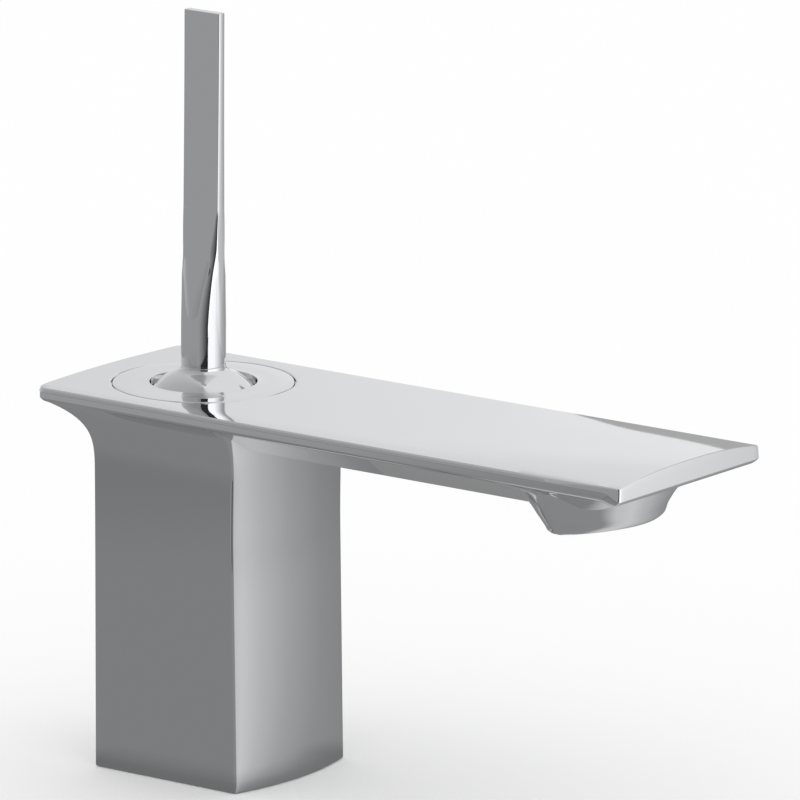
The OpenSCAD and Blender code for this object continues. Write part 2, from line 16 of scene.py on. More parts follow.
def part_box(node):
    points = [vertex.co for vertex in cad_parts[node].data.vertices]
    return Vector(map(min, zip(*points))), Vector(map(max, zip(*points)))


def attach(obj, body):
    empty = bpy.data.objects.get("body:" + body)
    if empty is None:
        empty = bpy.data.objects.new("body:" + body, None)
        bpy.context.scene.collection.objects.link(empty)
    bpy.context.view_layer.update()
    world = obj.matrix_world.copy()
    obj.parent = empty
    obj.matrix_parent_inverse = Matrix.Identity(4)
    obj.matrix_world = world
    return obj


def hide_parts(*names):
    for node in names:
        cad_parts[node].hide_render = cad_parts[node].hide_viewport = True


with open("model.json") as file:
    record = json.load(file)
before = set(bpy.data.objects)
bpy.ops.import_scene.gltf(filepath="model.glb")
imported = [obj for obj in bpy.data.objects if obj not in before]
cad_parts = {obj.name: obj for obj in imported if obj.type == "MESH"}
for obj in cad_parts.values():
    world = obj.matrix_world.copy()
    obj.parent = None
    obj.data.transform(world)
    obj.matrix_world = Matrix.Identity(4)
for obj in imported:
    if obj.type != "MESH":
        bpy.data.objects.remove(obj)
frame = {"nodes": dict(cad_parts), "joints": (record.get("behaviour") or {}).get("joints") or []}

LOG = logging.getLogger("basin_mixer_tap")
MM = 0.001

Ring = list[Vector]
Level = Callable[[float, float], float]
Points = list[tuple[float, float]]
Pairs = tuple[tuple[float, float], ...]


# Colour and nodes


def linear(hex_code: str, alpha: float = 1.0) -> tuple[float, float, float, float]:
    """Turns an sRGB hex code into a linear colour.

    Args:
        hex_code: Six hexadecimal digits.
        alpha: Opacity of the colour.

    Returns:
        Red, green, blue and alpha, the first three linear.
    """
    channels = [int(hex_code[i:i + 2], 16) / 255 for i in (0, 2, 4)]
    red, green, blue = (c / 12.92 if c <= 0.04045 else ((c + 0.055) / 1.055) ** 2.4 for c in channels)
    return red, green, blue, alpha


def add_node(tree: bpy.types.NodeTree, kind: str, settings: dict | None = None,
             **inputs: object) -> bpy.types.Node:
    """Adds one node, with its settings and what feeds its inputs.

    Args:
        tree: The node tree that takes the node.
        kind: Blender's name of the node type.
        settings: Attributes of the node itself.
        **inputs: A value, or a socket to link from, for each input. An underscore stands for a space,
            and a name such as in0 counts the inputs from the first.

    Returns:
        The new node.
    """
    node = tree.nodes.new(kind)
    for name, value in (settings or {}).items():
        setattr(node, name, value)
    for name, value in inputs.items():
        counted = name.startswith("in") and name[2:].isdigit()
        socket = node.inputs[int(name[2:])] if counted else node.inputs[name.replace("_", " ")]
        if isinstance(value, bpy.types.NodeSocket):
            tree.links.new(value, socket)
        else:
            socket.default_value = value
    return node


def fill_ramp(node: bpy.types.Node, stops: Iterable[tuple[float, float]]) -> None:
    """Sets a colour ramp's stops to greys.

    Args:
        node: The colour ramp, which comes with two stops.
        stops: Position from 0 to 1 and linear grey level of each stop, two or more.
    """
    elements = node.color_ramp.elements
    for number, (position, level) in enumerate(stops):
        if number >= len(elements):
            elements.new(1.0)
        elements[number].position = position
        elements[number].color = (level, level, level, 1.0)


def new_material(name: str) -> tuple[bpy.types.Material, bpy.types.NodeTree]:
    """Makes an empty node material.

    Args:
        name: Name of the material.

    Returns:
        The material and its node tree.
    """
    material = bpy.data.materials.new(name)
    material.use_nodes = True
    material.node_tree.nodes.clear()
    return material, material.node_tree


# Finishes


@dataclass(frozen=True)
class PolishedChrome:
    """Chrome plate on polished brass: a clear mirror with the faint swell that hand polishing leaves."""

    name: str
    tint: str = "E4E5E7"
    # The haze's noise lies mostly between its low and high value, over which the roughness spreads
    roughness_low: float = 0.035
    roughness_high: float = 0.06
    # The haze of polishing is finer than this, and is drawn coarser so that it shows
    haze_mm: float = 3.0
    haze_low: float = 0.35
    haze_high: float = 0.7
    swell_mm: float = 38.0
    swell_depth_mm: float = 0.012

    def build(self) -> bpy.types.Material:
        """Draws the swell in the normal and the haze in the roughness.

        Returns:
            The material.
        """
        material, tree = new_material(self.name)
        place = add_node(tree, "ShaderNodeTexCoord").outputs["Object"]
        swell = add_node(tree, "ShaderNodeTexNoise", Vector=place, Scale=1 / (self.swell_mm * MM),
                         Detail=1.0)
        bump = add_node(tree, "ShaderNodeBump", Height=swell.outputs["Fac"],
                        Distance=self.swell_depth_mm * MM, Strength=1.0)
        haze = add_node(tree, "ShaderNodeTexNoise", Vector=place, Scale=1 / (self.haze_mm * MM),
                        Detail=4.0)
        rough = add_node(tree, "ShaderNodeMapRange", Value=haze.outputs["Fac"],
                         From_Min=self.haze_low, From_Max=self.haze_high,
                         To_Min=self.roughness_low, To_Max=self.roughness_high)
        shader = add_node(tree, "ShaderNodeBsdfPrincipled", Base_Color=linear(self.tint), Metallic=1.0,
                          Roughness=rough.outputs["Result"], Normal=bump.outputs["Normal"])
        add_node(tree, "ShaderNodeOutputMaterial", Surface=shader.outputs["BSDF"])
        return material


@dataclass(frozen=True)
class PlainFinish:
    """A moulded, turned or ground finish with two tones and a fine grain."""

    name: str
    dark: str
    light: str
    metallic: float
    roughness: float
    # The real grain or tool mark is finer still, and is drawn coarser so that it shows
    grain_mm: float
    grain_depth_mm: float
    stretch: tuple[float, float, float] = (1.0, 1.0, 1.0)
    roughness_spread: float = 0.2
    grain_strength: float = 0.6

    def build(self) -> bpy.types.Material:
        """Lets one noise drive tone, roughness and bump.

        Returns:
            The material.
        """
        material, tree = new_material(self.name)
        place = add_node(tree, "ShaderNodeTexCoord").outputs["Object"]
        mapped = add_node(tree, "ShaderNodeMapping", Vector=place, Scale=self.stretch).outputs["Vector"]
        grain = add_node(tree, "ShaderNodeTexNoise", Vector=mapped, Scale=1 / (self.grain_mm * MM),
                         Detail=3.0).outputs["Fac"]
        tone = add_node(tree, "ShaderNodeMix", {"data_type": "RGBA"}, Factor=grain,
                        in6=linear(self.dark), in7=linear(self.light))
        rough = add_node(tree, "ShaderNodeMapRange", Value=grain,
                         To_Min=self.roughness * (1 - self.roughness_spread),
                         To_Max=self.roughness * (1 + self.roughness_spread))
        bump = add_node(tree, "ShaderNodeBump", Height=grain,
                        Distance=self.grain_depth_mm * MM, Strength=self.grain_strength)
        shader = add_node(tree, "ShaderNodeBsdfPrincipled", Base_Color=tone.outputs[2],
                          Metallic=self.metallic, Roughness=rough.outputs["Result"],
                          Normal=bump.outputs["Normal"])
        add_node(tree, "ShaderNodeOutputMaterial", Surface=shader.outputs["BSDF"])
        return material


class Finish(Enum):
    """Every finish of the tap."""

    # Bright chrome plate on cast and hand-polished brass: reflections waver a little on the flat faces
    CASTING = PolishedChrome("polished_chrome_casting")
    # The same plate on the turned ring and dome: a truer mirror, with less swell
    TURNED = PolishedChrome("polished_chrome_turned", swell_depth_mm=0.003)
    # The same plate on the forged lever: straight reflections along the blade
    FORGED = PolishedChrome("polished_chrome_forged", swell_depth_mm=0.004)
    # Free-cutting brass: yellow metal with fine marks round Z from the lathe
    BRASS = PlainFinish("turned_brass", "B08A3C", "D2AE62", metallic=1.0, roughness=0.28,
                        grain_mm=0.5, grain_depth_mm=0.01, stretch=(0.2, 0.2, 3.0))
    # Nitrile rubber, moulded: near black and dull
    RUBBER = PlainFinish("moulded_rubber", "141414", "232323", metallic=0.0, roughness=0.7,
                         grain_mm=0.3, grain_depth_mm=0.02)
    # White acetal, moulded: a warm white with a satin shine
    ACETAL = PlainFinish("white_acetal", "DEDDD6", "ECEBE5", metallic=0.0, roughness=0.42,
                         grain_mm=0.8, grain_depth_mm=0.006)
    # Orange acetal, moulded: the cartridge's coloured carrier, as satin as the white
    CARRIER = PlainFinish("orange_acetal", "C4601C", "D6702A", metallic=0.0, roughness=0.42,
                          grain_mm=0.8, grain_depth_mm=0.006)
    # Lapped alumina: smooth cream ceramic with a clear highlight
    CERAMIC = PlainFinish("lapped_alumina", "E2DDCF", "F0ECE1", metallic=0.0, roughness=0.14,
                          grain_mm=0.6, grain_depth_mm=0.001)
    # Stainless steel, ground: grey metal with soft streaks square to X
    STEEL = PlainFinish("ground_stainless", "8E9093", "AEB0B3", metallic=1.0, roughness=0.3,
                        grain_mm=0.4, grain_depth_mm=0.005, stretch=(3.0, 1.0, 1.0))
    # Grey polypropylene, moulded: pale and slightly waxy
    INSERT = PlainFinish("grey_polypropylene", "B9BCBE", "CACCCE", metallic=0.0, roughness=0.45,
                         grain_mm=0.7, grain_depth_mm=0.01)


@cache
def material_of(finish: Finish) -> bpy.types.Material:
    """Builds a finish's material, once for all the pieces that take it.

    Args:
        finish: The finish.

    Returns:
        Its material.
    """
    return finish.value.build()


# CAD pieces


def node_low(node: str) -> float:
    """Returns the level of a CAD node's underside, in millimetres."""
    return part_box(node)[0].z / MM


def node_top(node: str) -> float:
    """Returns the level of a CAD node's top, in millimetres."""
    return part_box(node)[1].z / MM


def node_radius(node: str) -> float:
    """Returns the radius of a round CAD node, in millimetres."""
    lowest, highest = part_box(node)
    return (highest.y - lowest.y) / 2 / MM


NODE_FINISHES: dict[str, Finish] = {
    "foot_gasket": Finish.RUBBER,
    "trim_ring_seal": Finish.RUBBER,
    "cartridge_nut": Finish.BRASS,
    "cartridge_housing": Finish.ACETAL,
    "cartridge_base": Finish.ACETAL,
    "port_seals": Finish.RUBBER,
    "disc_seal": Finish.RUBBER,
    "fixed_disc": Finish.CERAMIC,
    "moving_disc": Finish.CERAMIC,
    "disc_carrier": Finish.CARRIER,
    "rotor": Finish.ACETAL,
    "pivot_pin": Finish.STEEL,
    "lever_spindle": Finish.BRASS,
    "grub_screw": Finish.STEEL,
    "aerator_housing": Finish.TURNED,
    "aerator_seal": Finish.RUBBER,
    "aerator_screen": Finish.STEEL,
    "flow_straightener": Finish.INSERT,
}


def dress_nodes() -> None:
    """Gives each CAD node that keeps its mesh its finish."""
    for node, finish in NODE_FINISHES.items():
        piece = frame["nodes"][node]
        piece.data.materials.clear()
        piece.data.materials.append(material_of(finish))
        LOG.info("%s dressed in %s", node, finish.value.name)


# Solids


def mesh_object(bm: bmesh.types.BMesh, name: str) -> bpy.types.Object:
    """Turns a bmesh into an object of the scene and frees it.

    Args:
        bm: The mesh.
        name: The object's name.

    Returns:
        The object.
    """
    mesh = bpy.data.meshes.new(name)
    bm.to_mesh(mesh)
    bm.free()
    piece = bpy.data.objects.new(name, mesh)
    bpy.context.scene.collection.objects.link(piece)
    return piece


def loop_edges(bm: bmesh.types.BMesh, verts: list[bmesh.types.BMVert]) -> list[bmesh.types.BMEdge]:
    """Returns the edges of the closed loop that runs through some vertices."""
    return [bm.edges.get(pair) for pair in zip(verts, verts[1:] + verts[:1])]


def loft(bm: bmesh.types.BMesh, rings: Sequence[Ring], close_last: bool = True) -> list[bmesh.types.BMVert]:
    """Draws a closed loop through a stack of rings and closes its ends.

    Args:
        bm: The mesh that takes the skin.
        rings: Rings of equally many points, in metres.
        close_last: Whether the last ring is closed as the first one is.

    Returns:
        The last ring's vertices, in its order.
    """
    circle = bmesh.ops.create_circle(bm, cap_ends=False, segments=len(rings[0]), radius=1.0)
    verts = list(circle["verts"])
    edges = loop_edges(bm, verts)
    for vert, point in zip(verts, rings[0]):
        vert.co = point
    bmesh.ops.contextual_create(bm, geom=edges)
    for ring in rings[1:]:
        geom = bmesh.ops.extrude_edge_only(bm, edges=edges)["geom"]
        fresh = {v for v in geom if isinstance(v, bmesh.types.BMVert)}
        verts = [next(e.other_vert(v) for e in v.link_edges if e.other_vert(v) in fresh) for v in verts]
        for vert, point in zip(verts, ring):
            vert.co = point
        edges = loop_edges(bm, verts)
    if close_last:
        bmesh.ops.contextual_create(bm, geom=edges)
    bmesh.ops.recalc_face_normals(bm, faces=bm.faces)
    return verts


def lofted(name: str, rings: Sequence[Ring]) -> bpy.types.Object:
    """Makes a solid from a stack of rings.

    Args:
        name: The object's name.
        rings: Rings of equally many points, in metres.

    Returns:
        The solid.
    """
    bm = bmesh.new()
    loft(bm, rings)
    return mesh_object(bm, name)


def turned(name: str, profile: Iterable[tuple[float, float]], steps: int) -> bpy.types.Object:
    """Turns a closed profile round the upright axis through the origin.

    Args:
        name: The object's name.
        profile: Radius and level of each point, in millimetres, all off the axis.
        steps: Facets round the axis.

    Returns:
        The solid.
    """
    bm = bmesh.new()
    verts = [bm.verts.new((r * MM, 0.0, z * MM)) for r, z in profile]
    edges = [bm.edges.new(pair) for pair in zip(verts, verts[1:] + verts[:1])]
    bmesh.ops.spin(bm, geom=verts + edges, cent=(0.0, 0.0, 0.0), axis=(0.0, 0.0, 1.0),
                   angle=2 * math.pi, steps=steps, use_merge=True, use_duplicate=False)
    bmesh.ops.remove_doubles(bm, verts=bm.verts, dist=1e-7)
    bmesh.ops.recalc_face_normals(bm, faces=bm.faces)
    return mesh_object(bm, name)


def rod(name: str, radius: float, length: float, place: Matrix, steps: int = 128) -> bpy.types.Object:
    """Makes a cylinder, which stands upright before it is placed.

    Args:
        name: The object's name.
        radius: Its radius, in millimetres.
        length: Its length, in millimetres.
        place: Place of its middle, in metres, and its turn.
        steps: Facets round it.

    Returns:
        The solid.
    """
    bm = bmesh.new()
    bmesh.ops.create_cone(bm, cap_ends=True, segments=steps, radius1=radius * MM, radius2=radius * MM,
                          depth=length * MM, matrix=place)
    return mesh_object(bm, name)


def combine(base: bpy.types.Object, others: Iterable[bpy.types.Object], operation: str) -> None:
    """Joins or cuts a solid by others, which are then removed.

    Args:
        base: The solid that is changed.
        others: The solids that it is joined to, or cut by.
        operation: UNION or DIFFERENCE.
    """
    for other in others:
        modifier = base.modifiers.new("combine", "BOOLEAN")
        modifier.operation = operation
        modifier.solver = "EXACT"
        modifier.object = other
        graph = bpy.context.evaluated_depsgraph_get()
        result = bpy.data.meshes.new_from_object(base.evaluated_get(graph))
        base.modifiers.clear()
        base.data = result
        bpy.data.objects.remove(other)


def finish_piece(piece: bpy.types.Object, body: str, finish: Finish, node: str,
                 crease: float = 24.0) -> None:
    """Smooths a piece, dresses it and seats it in the frame.

    Args:
        piece: The finished mesh.
        body: The body that it moves with.
        finish: Its finish.
        node: The CAD node that it stands for.
        crease: Angle in degrees past which an edge stays sharp.
    """
    piece.data.name = piece.name
    piece.data.shade_smooth()
    piece.data.set_sharp_from_angle(angle=math.radians(crease))
    piece.data.materials.clear()
    piece.data.materials.append(material_of(finish))
    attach(piece, body)
    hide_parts(node)
    LOG.info("%s: %d faces on %s", piece.name, len(piece.data.polygons), body)


# Outlines


def limited(share: float) -> float:
    """Keeps a share between 0 and 1."""
    return max(0.0, min(1.0, share))


def ease(share: float) -> float:
    """Returns a smooth step from 0 to 1."""
    share = limited(share)
    return share * share * (3 - 2 * share)


@dataclass(frozen=True)
class BowedOutline:
    """Rounded rectangle with bowed ends, seen from above, in millimetres."""

    back: float
    front: float
    half_width: float
    back_radius: float
    front_radius: float
    back_bow: float
    front_bow: float
    # Points along half an end, round a corner and along a side
    end_steps: int = 16
    corner_steps: int = 8
    side_steps: int = 24

    def corner(self, x: float, y: float, radius: float, start: float) -> Points:
        """Draws a quarter round.

        Args:
            x: Its centre, along the spout.
            y: Its centre, across the spout.
            radius: Its radius.
            start: Direction of its first point, in degrees.

        Returns:
            Its points.
        """
        angles = [math.radians(start + 90 * i / self.corner_steps) for i in range(self.corner_steps + 1)]
        return [(x + radius * math.cos(angle), y + radius * math.sin(angle)) for angle in angles]

    def points(self) -> Points:
        """Draws the near half, mirrors it and bows both ends.

        Returns:
            The outline's points, counter-clockwise from the middle of the back.
        """
        x0, x1, half = self.back, self.front, self.half_width
        r0, r1 = self.back_radius, self.front_radius
        near = [(x0, -(half - r0) * i / self.end_steps) for i in range(self.end_steps)]
        near += self.corner(x0 + r0, r0 - half, r0, 180)
        run = x1 - r1 - x0 - r0
        near += [(x0 + r0 + run * i / self.side_steps, -half) for i in range(1, self.side_steps)]
        near += self.corner(x1 - r1, r1 - half, r1, 270)
        near += [(x1, -(half - r1) * (1 - i / self.end_steps)) for i in range(1, self.end_steps + 1)]
        far = [(x, -y) for x, y in reversed(near[1:-1])]
        bowed = []
        for x, y in near + far:
            share = (2 * x - x0 - x1) / (x1 - x0)
            bow = self.front_bow if share > 0 else self.back_bow
            bowed.append((x + bow * share * (1 - (y / half) ** 2), y))
        return bowed

    def ring(self, level: Level | float) -> Ring:
        """Lifts the outline.

        Args:
            level: Its level, or a function that gives the level at a place, in millimetres.

        Returns:
            The outline's points, in metres.
        """
        level_at = level if callable(level) else lambda x, y: level
        return [Vector((x, y, level_at(x, y))) * MM for x, y in self.points()]


@dataclass(frozen=True)
class LensOutline:
    """Lens or squared oval that is long across the spout, seen from above, in millimetres."""

    tip_x: float
    front: float
    back: float
    half_width: float
    # 1 gives the lens, and less a squarer form
    power: float
    # The lower it is, the sharper the tips
    front_fullness: float = 0.41
    back_fullness: float = 2.5
    steps: int = 144

    def ring(self, level: float) -> Ring:
        """Lifts the lens.

        Args:
            level: Its level, in millimetres.

        Returns:
            The lens's points, in metres.
        """
        points = []
        for i in range(self.steps):
            angle = 2 * math.pi * i / self.steps
            c, s = math.cos(angle), math.sin(angle)
            reach, full = (self.front, self.front_fullness) if c > 0 else (self.back, self.back_fullness)
            x = math.copysign(abs(c) ** self.power, c) * math.sqrt((c * c + full) / (1 + full))
            y = math.copysign(abs(s) ** self.power, s)
            points.append(Vector((self.tip_x + reach * x, self.half_width * y, level)) * MM)
        return points


# The casting


# Depth of the plate's underside under the flat top
PLATE_LOW = 4.6

# Inset and depth under the flat top along the sides, and the same two at the spout's end, for each line
# of the plate's edge from its underside up
PLATE_EDGE = ((2.2, -PLATE_LOW, 3.4, -5.4), (1.3, -4.45, 2.5, -5.3), (0.75, -4.15, 1.8, -5.05),
              (0.35, -3.7, 1.1, -4.55), (0.12, -3.3, 0.5, -4.05), (0.15, -1.75, 0.06, -3.65),
              (0.0, -1.6, 0.0, -3.55), (0.02, -1.5, 0.0, -3.45), (0.2, -0.85, 0.04, -1.3))

# Inset and depth of the lines that round the edge over into the top
PLATE_SHOULDER = ((0.28, -0.36), (0.38, -0.15), (0.62, -0.03))

# Depth under the flat top, the tips' place, the reach to the front and to the back, the half width and
# the power of the outlet's boss, from its lip up
BOSS_SECTIONS = (
    (-18.2, 138.6, 10.1, 11.6, 22.3, 1.0), (-18.1, 138.6, 10.9, 12.3, 22.8, 1.0),
    (-17.8, 138.6, 12.0, 13.2, 23.05, 1.0), (-17.2, 138.6, 12.8, 13.7, 23.2, 1.0),
    (-16.4, 138.2, 13.7, 13.6, 23.6, 1.0), (-15.5, 137.7, 14.6, 13.6, 24.0, 1.0),
    (-14.6, 137.4, 15.4, 14.0, 24.35, 1.0), (-13.8, 137.1, 16.2, 14.5, 24.7, 1.0),
    (-12.5, 136.9, 17.3, 15.4, 25.3, 1.0), (-11.2, 136.7, 18.4, 16.4, 25.9, 1.0),
    (-10.0, 136.5, 19.5, 17.7, 26.55, 1.0), (-8.85, 136.3, 20.7, 19.0, 27.2, 1.0),
    (-8.0, 136.0, 21.7, 20.0, 27.75, 1.0), (-7.2, 135.6, 22.9, 21.0, 28.3, 1.0),
    (-6.5, 135.2, 24.6, 22.5, 28.95, 1.0), (-5.9, 134.8, 26.5, 24.0, 29.5, 0.97),
    (-5.3, 132.0, 30.5, 24.0, 30.0, 0.88), (-4.8, 126.0, 37.3, 22.0, 30.4, 0.75),
    (-4.3, 114.0, 50.0, 20.0, 30.8, 0.62), (-3.9, 95.0, 69.3, 16.0, 31.0, 0.52),
    (-3.4, 80.0, 84.6, 12.0, 31.15, 0.45), (-2.7, 75.0, 90.0, 10.0, 31.2, 0.4))


@dataclass
class Casting:
    """The tap's body: pillar, flare, plate, belly and outlet, joined into one shell, in millimetres."""

    # Level of the flat top
    deck: float

    # Pillar, which spreads a little towards its foot, at its back a third as much as at its front
    pillar_width: float = 49.0
    pillar_back: float = 19.2
    pillar_front: float = 28.9
    back_bow: float = 2.6
    front_bow: float = 3.8
    corner: float = 0.7
    foot_edge: float = 0.4
    foot_spread: float = 0.9
    foot_spread_top: float = 70.0
    foot_wall: float = 4.6
    foot_core_top: float = 36.0

    # Flare from the pillar to the plate, at its sides and back, then at its front
    flare_height: float = 22.8
    flare_power: float = 4.6
    flare_inset: float = 1.0
    front_height: float = 35.0
    front_flare: float = 0.8
    front_power: float = 1.7
    front_radius: float = 5.0
    front_radius_power: float = 7.0

    # Plate
    plate_width: float = 63.8
    plate_back: float = 33.6
    plate_bow: float = 1.6
    plate_corner: float = 2.5
    plate_thickness: float = 4.2
    spout_end: float = 165.7
    tip_corner: float = 0.8
    least_corner: float = 0.3
    # The edge takes its form at the spout's end over this run, from this far behind it
    edge_run: float = 5.0
    edge_lead: float = 5.2

    # Crown of the top, flat across where it starts and rounder at the spout's end
    crown_rise: float = 2.2
    crown_start: float = 84.0
    crown_power: float = 1.3
    across_power_start: float = 4.0
    across_power_end: float = 2.4
    # Share of the crown's length after which the power changes
    across_from: float = 0.4
    # Depth down to which the edge rises with the crown
    crown_depth: float = 2.3

    # Roll of the top down to its near side, which fades out before the spout's end
    roll_start: float = 26.5
    roll_width: float = 5.0
    roll_drop: float = 0.4
    roll_end: float = 140.0
    roll_fade: float = 24.0

    # Belly
    belly_back: float = 10.0
    belly_depth: float = 11.8
    belly_width: float = 39.0
    belly_margin: float = 1.6

    # Outlet, and the seats of what the casting holds
    outlet_x: float = 137.9
    outlet_low: float = 19.2
    ring_seat_depth: float = 1.6
    ring_seat_play: float = 0.18
    # Rounded rim of that seat: distance out from its wall, and level over the flat top
    ring_seat_rim: Pairs = ((0.0, -0.42), (0.04, -0.26), (0.13, -0.12), (0.27, -0.03), (0.42, 0.01))
    nut_room: float = 21.5
    dome_room: float = 1.2
    peg_room: float = 1.7
    play: float = 0.1
    # How far the cuts reach over the flat top, in from the seat's wall and under the foot
    cut_over: float = 4.0
    cut_inside: float = 3.0
    cut_under: float = 1.0

    def pillar_outline(self, z: float) -> BowedOutline:
        """Draws the pillar or its flare.

        Args:
            z: The level.

        Returns:
            The outline at that level.
        """
        top = self.deck - self.plate_thickness
        rise = limited((z - top + self.flare_height) / self.flare_height)
        sides = rise ** self.flare_power
        front = limited((z - top + self.front_height) / self.front_height)
        inset = self.foot_edge * max(0.0, 1 - z / self.foot_edge) ** 2
        spread = self.foot_spread * max(0.0, 1 - z / self.foot_spread_top)
        reach_side = self.plate_width / 2 - self.flare_inset - self.pillar_width / 2
        reach_back = self.plate_back - self.flare_inset - self.pillar_back
        return BowedOutline(
            back=-self.pillar_back + inset - spread / 3 - reach_back * sides,
            front=self.pillar_front - inset + spread + self.front_flare * front ** self.front_power,
            half_width=self.pillar_width / 2 - inset + reach_side * sides,
            back_radius=self.corner + (self.plate_corner - self.flare_inset / 2 - self.corner) * sides,
            front_radius=self.corner + self.front_radius * rise ** self.front_radius_power,
            back_bow=self.back_bow + (self.plate_bow - self.back_bow) * sides,
            front_bow=self.front_bow,
        )

    def pillar(self) -> bpy.types.Object:
        """Lofts the pillar from its foot into the plate, with the most rings at the flare's upper end.

        Returns:
            The solid.
        """
        foot_steps, shaft_steps, flare_steps, crowding = 4, 24, 40, 1.8
        top = self.deck - self.plate_thickness
        start = top - self.flare_height
        levels = [self.foot_edge * i / foot_steps for i in range(foot_steps + 1)]
        levels += [start * i / shaft_steps for i in range(1, shaft_steps + 1)]
        shares = [1 - (1 - i / flare_steps) ** crowding for i in range(1, flare_steps + 1)]
        levels += [start + self.flare_height * share for share in shares]
        rings = [self.pillar_outline(z).ring(z) for z in levels]
        rings.append(self.pillar_outline(top).ring(self.deck - self.plate_thickness / 2))
        return lofted("pillar", rings)

    def crown(self, x: float, y: float) -> float:
        """Works out the crown.

        Args:
            x: Place along the spout.
            y: Place across the spout.

        Returns:
            Rise of the top over the flat part.
        """
        share = max(0.0, (x - self.crown_start) / (self.spout_end - self.crown_start))
        change = ease((share - self.across_from) / (1 - self.across_from))
        power = self.across_power_start + (self.across_power_end - self.across_power_start) * change
        across = min(1.0, abs(y) / (self.plate_width / 2))
        return self.crown_rise * share ** self.crown_power * (1 - across ** power)

    def top_level(self, depth: float, x: float, y: float) -> float:
        """Works out the level of the top, with its crown and its roll, or of the edge's shoulder.

        Args:
            depth: Depth of the shoulder's line, 0 or below.
            x: Place along the spout.
            y: Place across the spout.

        Returns:
            The level.
        """
        fade = 1 - ease((x - self.roll_end) / self.roll_fade)
        roll = self.roll_drop * fade * (max(0.0, -y - self.roll_start) / self.roll_width) ** 2
        return self.deck + depth - roll + self.crown(x, y)

    def edge_level(self, side: float, end: float, end_inset: float, x: float, y: float) -> float:
        """Works out the level of a line of the plate's edge, which rises with the crown near the top.

        Args:
            side: Depth of the line along the sides and the back, below 0.
            end: Its depth across the spout's end, below 0.
            end_inset: Its inset at that end.
            x: Place along the spout.
            y: Place across the spout.

        Returns:
            The level.
        """
        share = ease((x - self.spout_end + end_inset + self.edge_lead) / self.edge_run)
        depth = side + (end - side) * share
        with_crown = 1 - min(1.0, -depth / self.crown_depth) ** 2
        return self.deck + depth + with_crown * self.crown(x, y)

    def plate_outline(self, inset: float, end_inset: float) -> BowedOutline:
        """Draws the plate's outline.

        Args:
            inset: How far it is drawn in along the sides and the back.
            end_inset: How far it is drawn in at the spout's end.

        Returns:
            The outline.
        """
        return BowedOutline(
            back=-self.plate_back + inset,
            front=self.spout_end - end_inset,
            half_width=self.plate_width / 2 - inset,
            back_radius=self.plate_corner - inset / 2,
            front_radius=max(self.tip_corner - inset / 2, self.least_corner),
            back_bow=self.plate_bow,
            front_bow=0.0,
            side_steps=120)

    def plate(self) -> bpy.types.Object:
        """Lofts the plate's edge and closes its top.

        Returns:
            The solid.
        """
        rings = [self.plate_outline(inset, end_inset).ring(partial(self.edge_level, side, end, end_inset))
                 for inset, side, end_inset, end in PLATE_EDGE]
        rings += [self.plate_outline(inset, inset / 2).ring(partial(self.top_level, depth))
                  for inset, depth in PLATE_SHOULDER]
        bm = bmesh.new()
        rim = loft(bm, rings, close_last=False)
        self.close_top(bm, rim)
        bmesh.ops.recalc_face_normals(bm, faces=bm.faces)
        return mesh_object(bm, "plate")

    def close_top(self, bm: bmesh.types.BMesh, rim: list[bmesh.types.BMVert]) -> None:
        """Spans the rim with rows across the spout, which follow the crown and the roll.

        Args:
            bm: The plate's mesh, open at its top.
            rim: The rim's vertices, counter-clockwise from the middle of the back.
        """
        columns = 2 * BowedOutline.end_steps
        last = (len(rim) - columns) // 2
        rows = [[rim[0]] * (columns + 1)]
        for i in range(1, last):
            x, near, _ = rim[i].co
            row = [rim[i]]
            for column in range(1, columns):
                y = near * (1 - 2 * column / columns)
                row.append(bm.verts.new((x, y, self.top_level(0.0, x / MM, y / MM) * MM)))
            row.append(rim[-i])
            rows.append(row)
        rows.append(rim[last:last + columns + 1])
        for low, high in zip(rows, rows[1:]):
            for column in range(columns):
                corners = [low[column], high[column], high[column + 1], low[column + 1]]
                # The first row is a single point, so two of its corners are one
                bm.faces.new(list(dict.fromkeys(corners)))

    def belly(self) -> bpy.types.Object:
        """Lofts the trough under the spout.

        Returns:
            The solid.
        """
        half = self.belly_width / 2
        bottom = self.deck - self.belly_depth
        spread = self.plate_width / 2 - self.belly_margin - half
        underside = self.belly_depth - PLATE_LOW
        inside = self.belly_depth - self.plate_thickness / 2
        # Spread past the half width, rise over the bottom and reach past the middle of the outlet
        sections = [(-1.9, 0.0, 9.0), (-0.9, 0.08, 9.3), (0.0, 0.35, 9.6), (0.8, 0.85, 10.4),
                    (spread - 1.2, underside - 0.5, 20.5), (spread, underside, 21.5), (spread, inside, 21.5)]
        return lofted("belly", [
            BowedOutline(back=self.belly_back, front=self.outlet_x + reach, half_width=half + out,
                         back_radius=2.0, front_radius=6.0, back_bow=1.0, front_bow=2.0,
                         end_steps=10, corner_steps=6, side_steps=40).ring(bottom + rise)
            for out, rise, reach in sections])

    def boss(self) -> bpy.types.Object:
        """Lofts the outlet's boss, from its lens-shaped lip to its spread under the plate.

        Returns:
            The solid.
        """
        return lofted("boss", [LensOutline(*outline).ring(self.deck + depth)
                               for depth, *outline in BOSS_SECTIONS])

    def cavities(self) -> list[bpy.types.Object]:
        """Makes what is cut out for the seats, the cartridge, the aerator and the open foot.

        Returns:
            The solids.
        """
        play, deck = self.play, self.deck
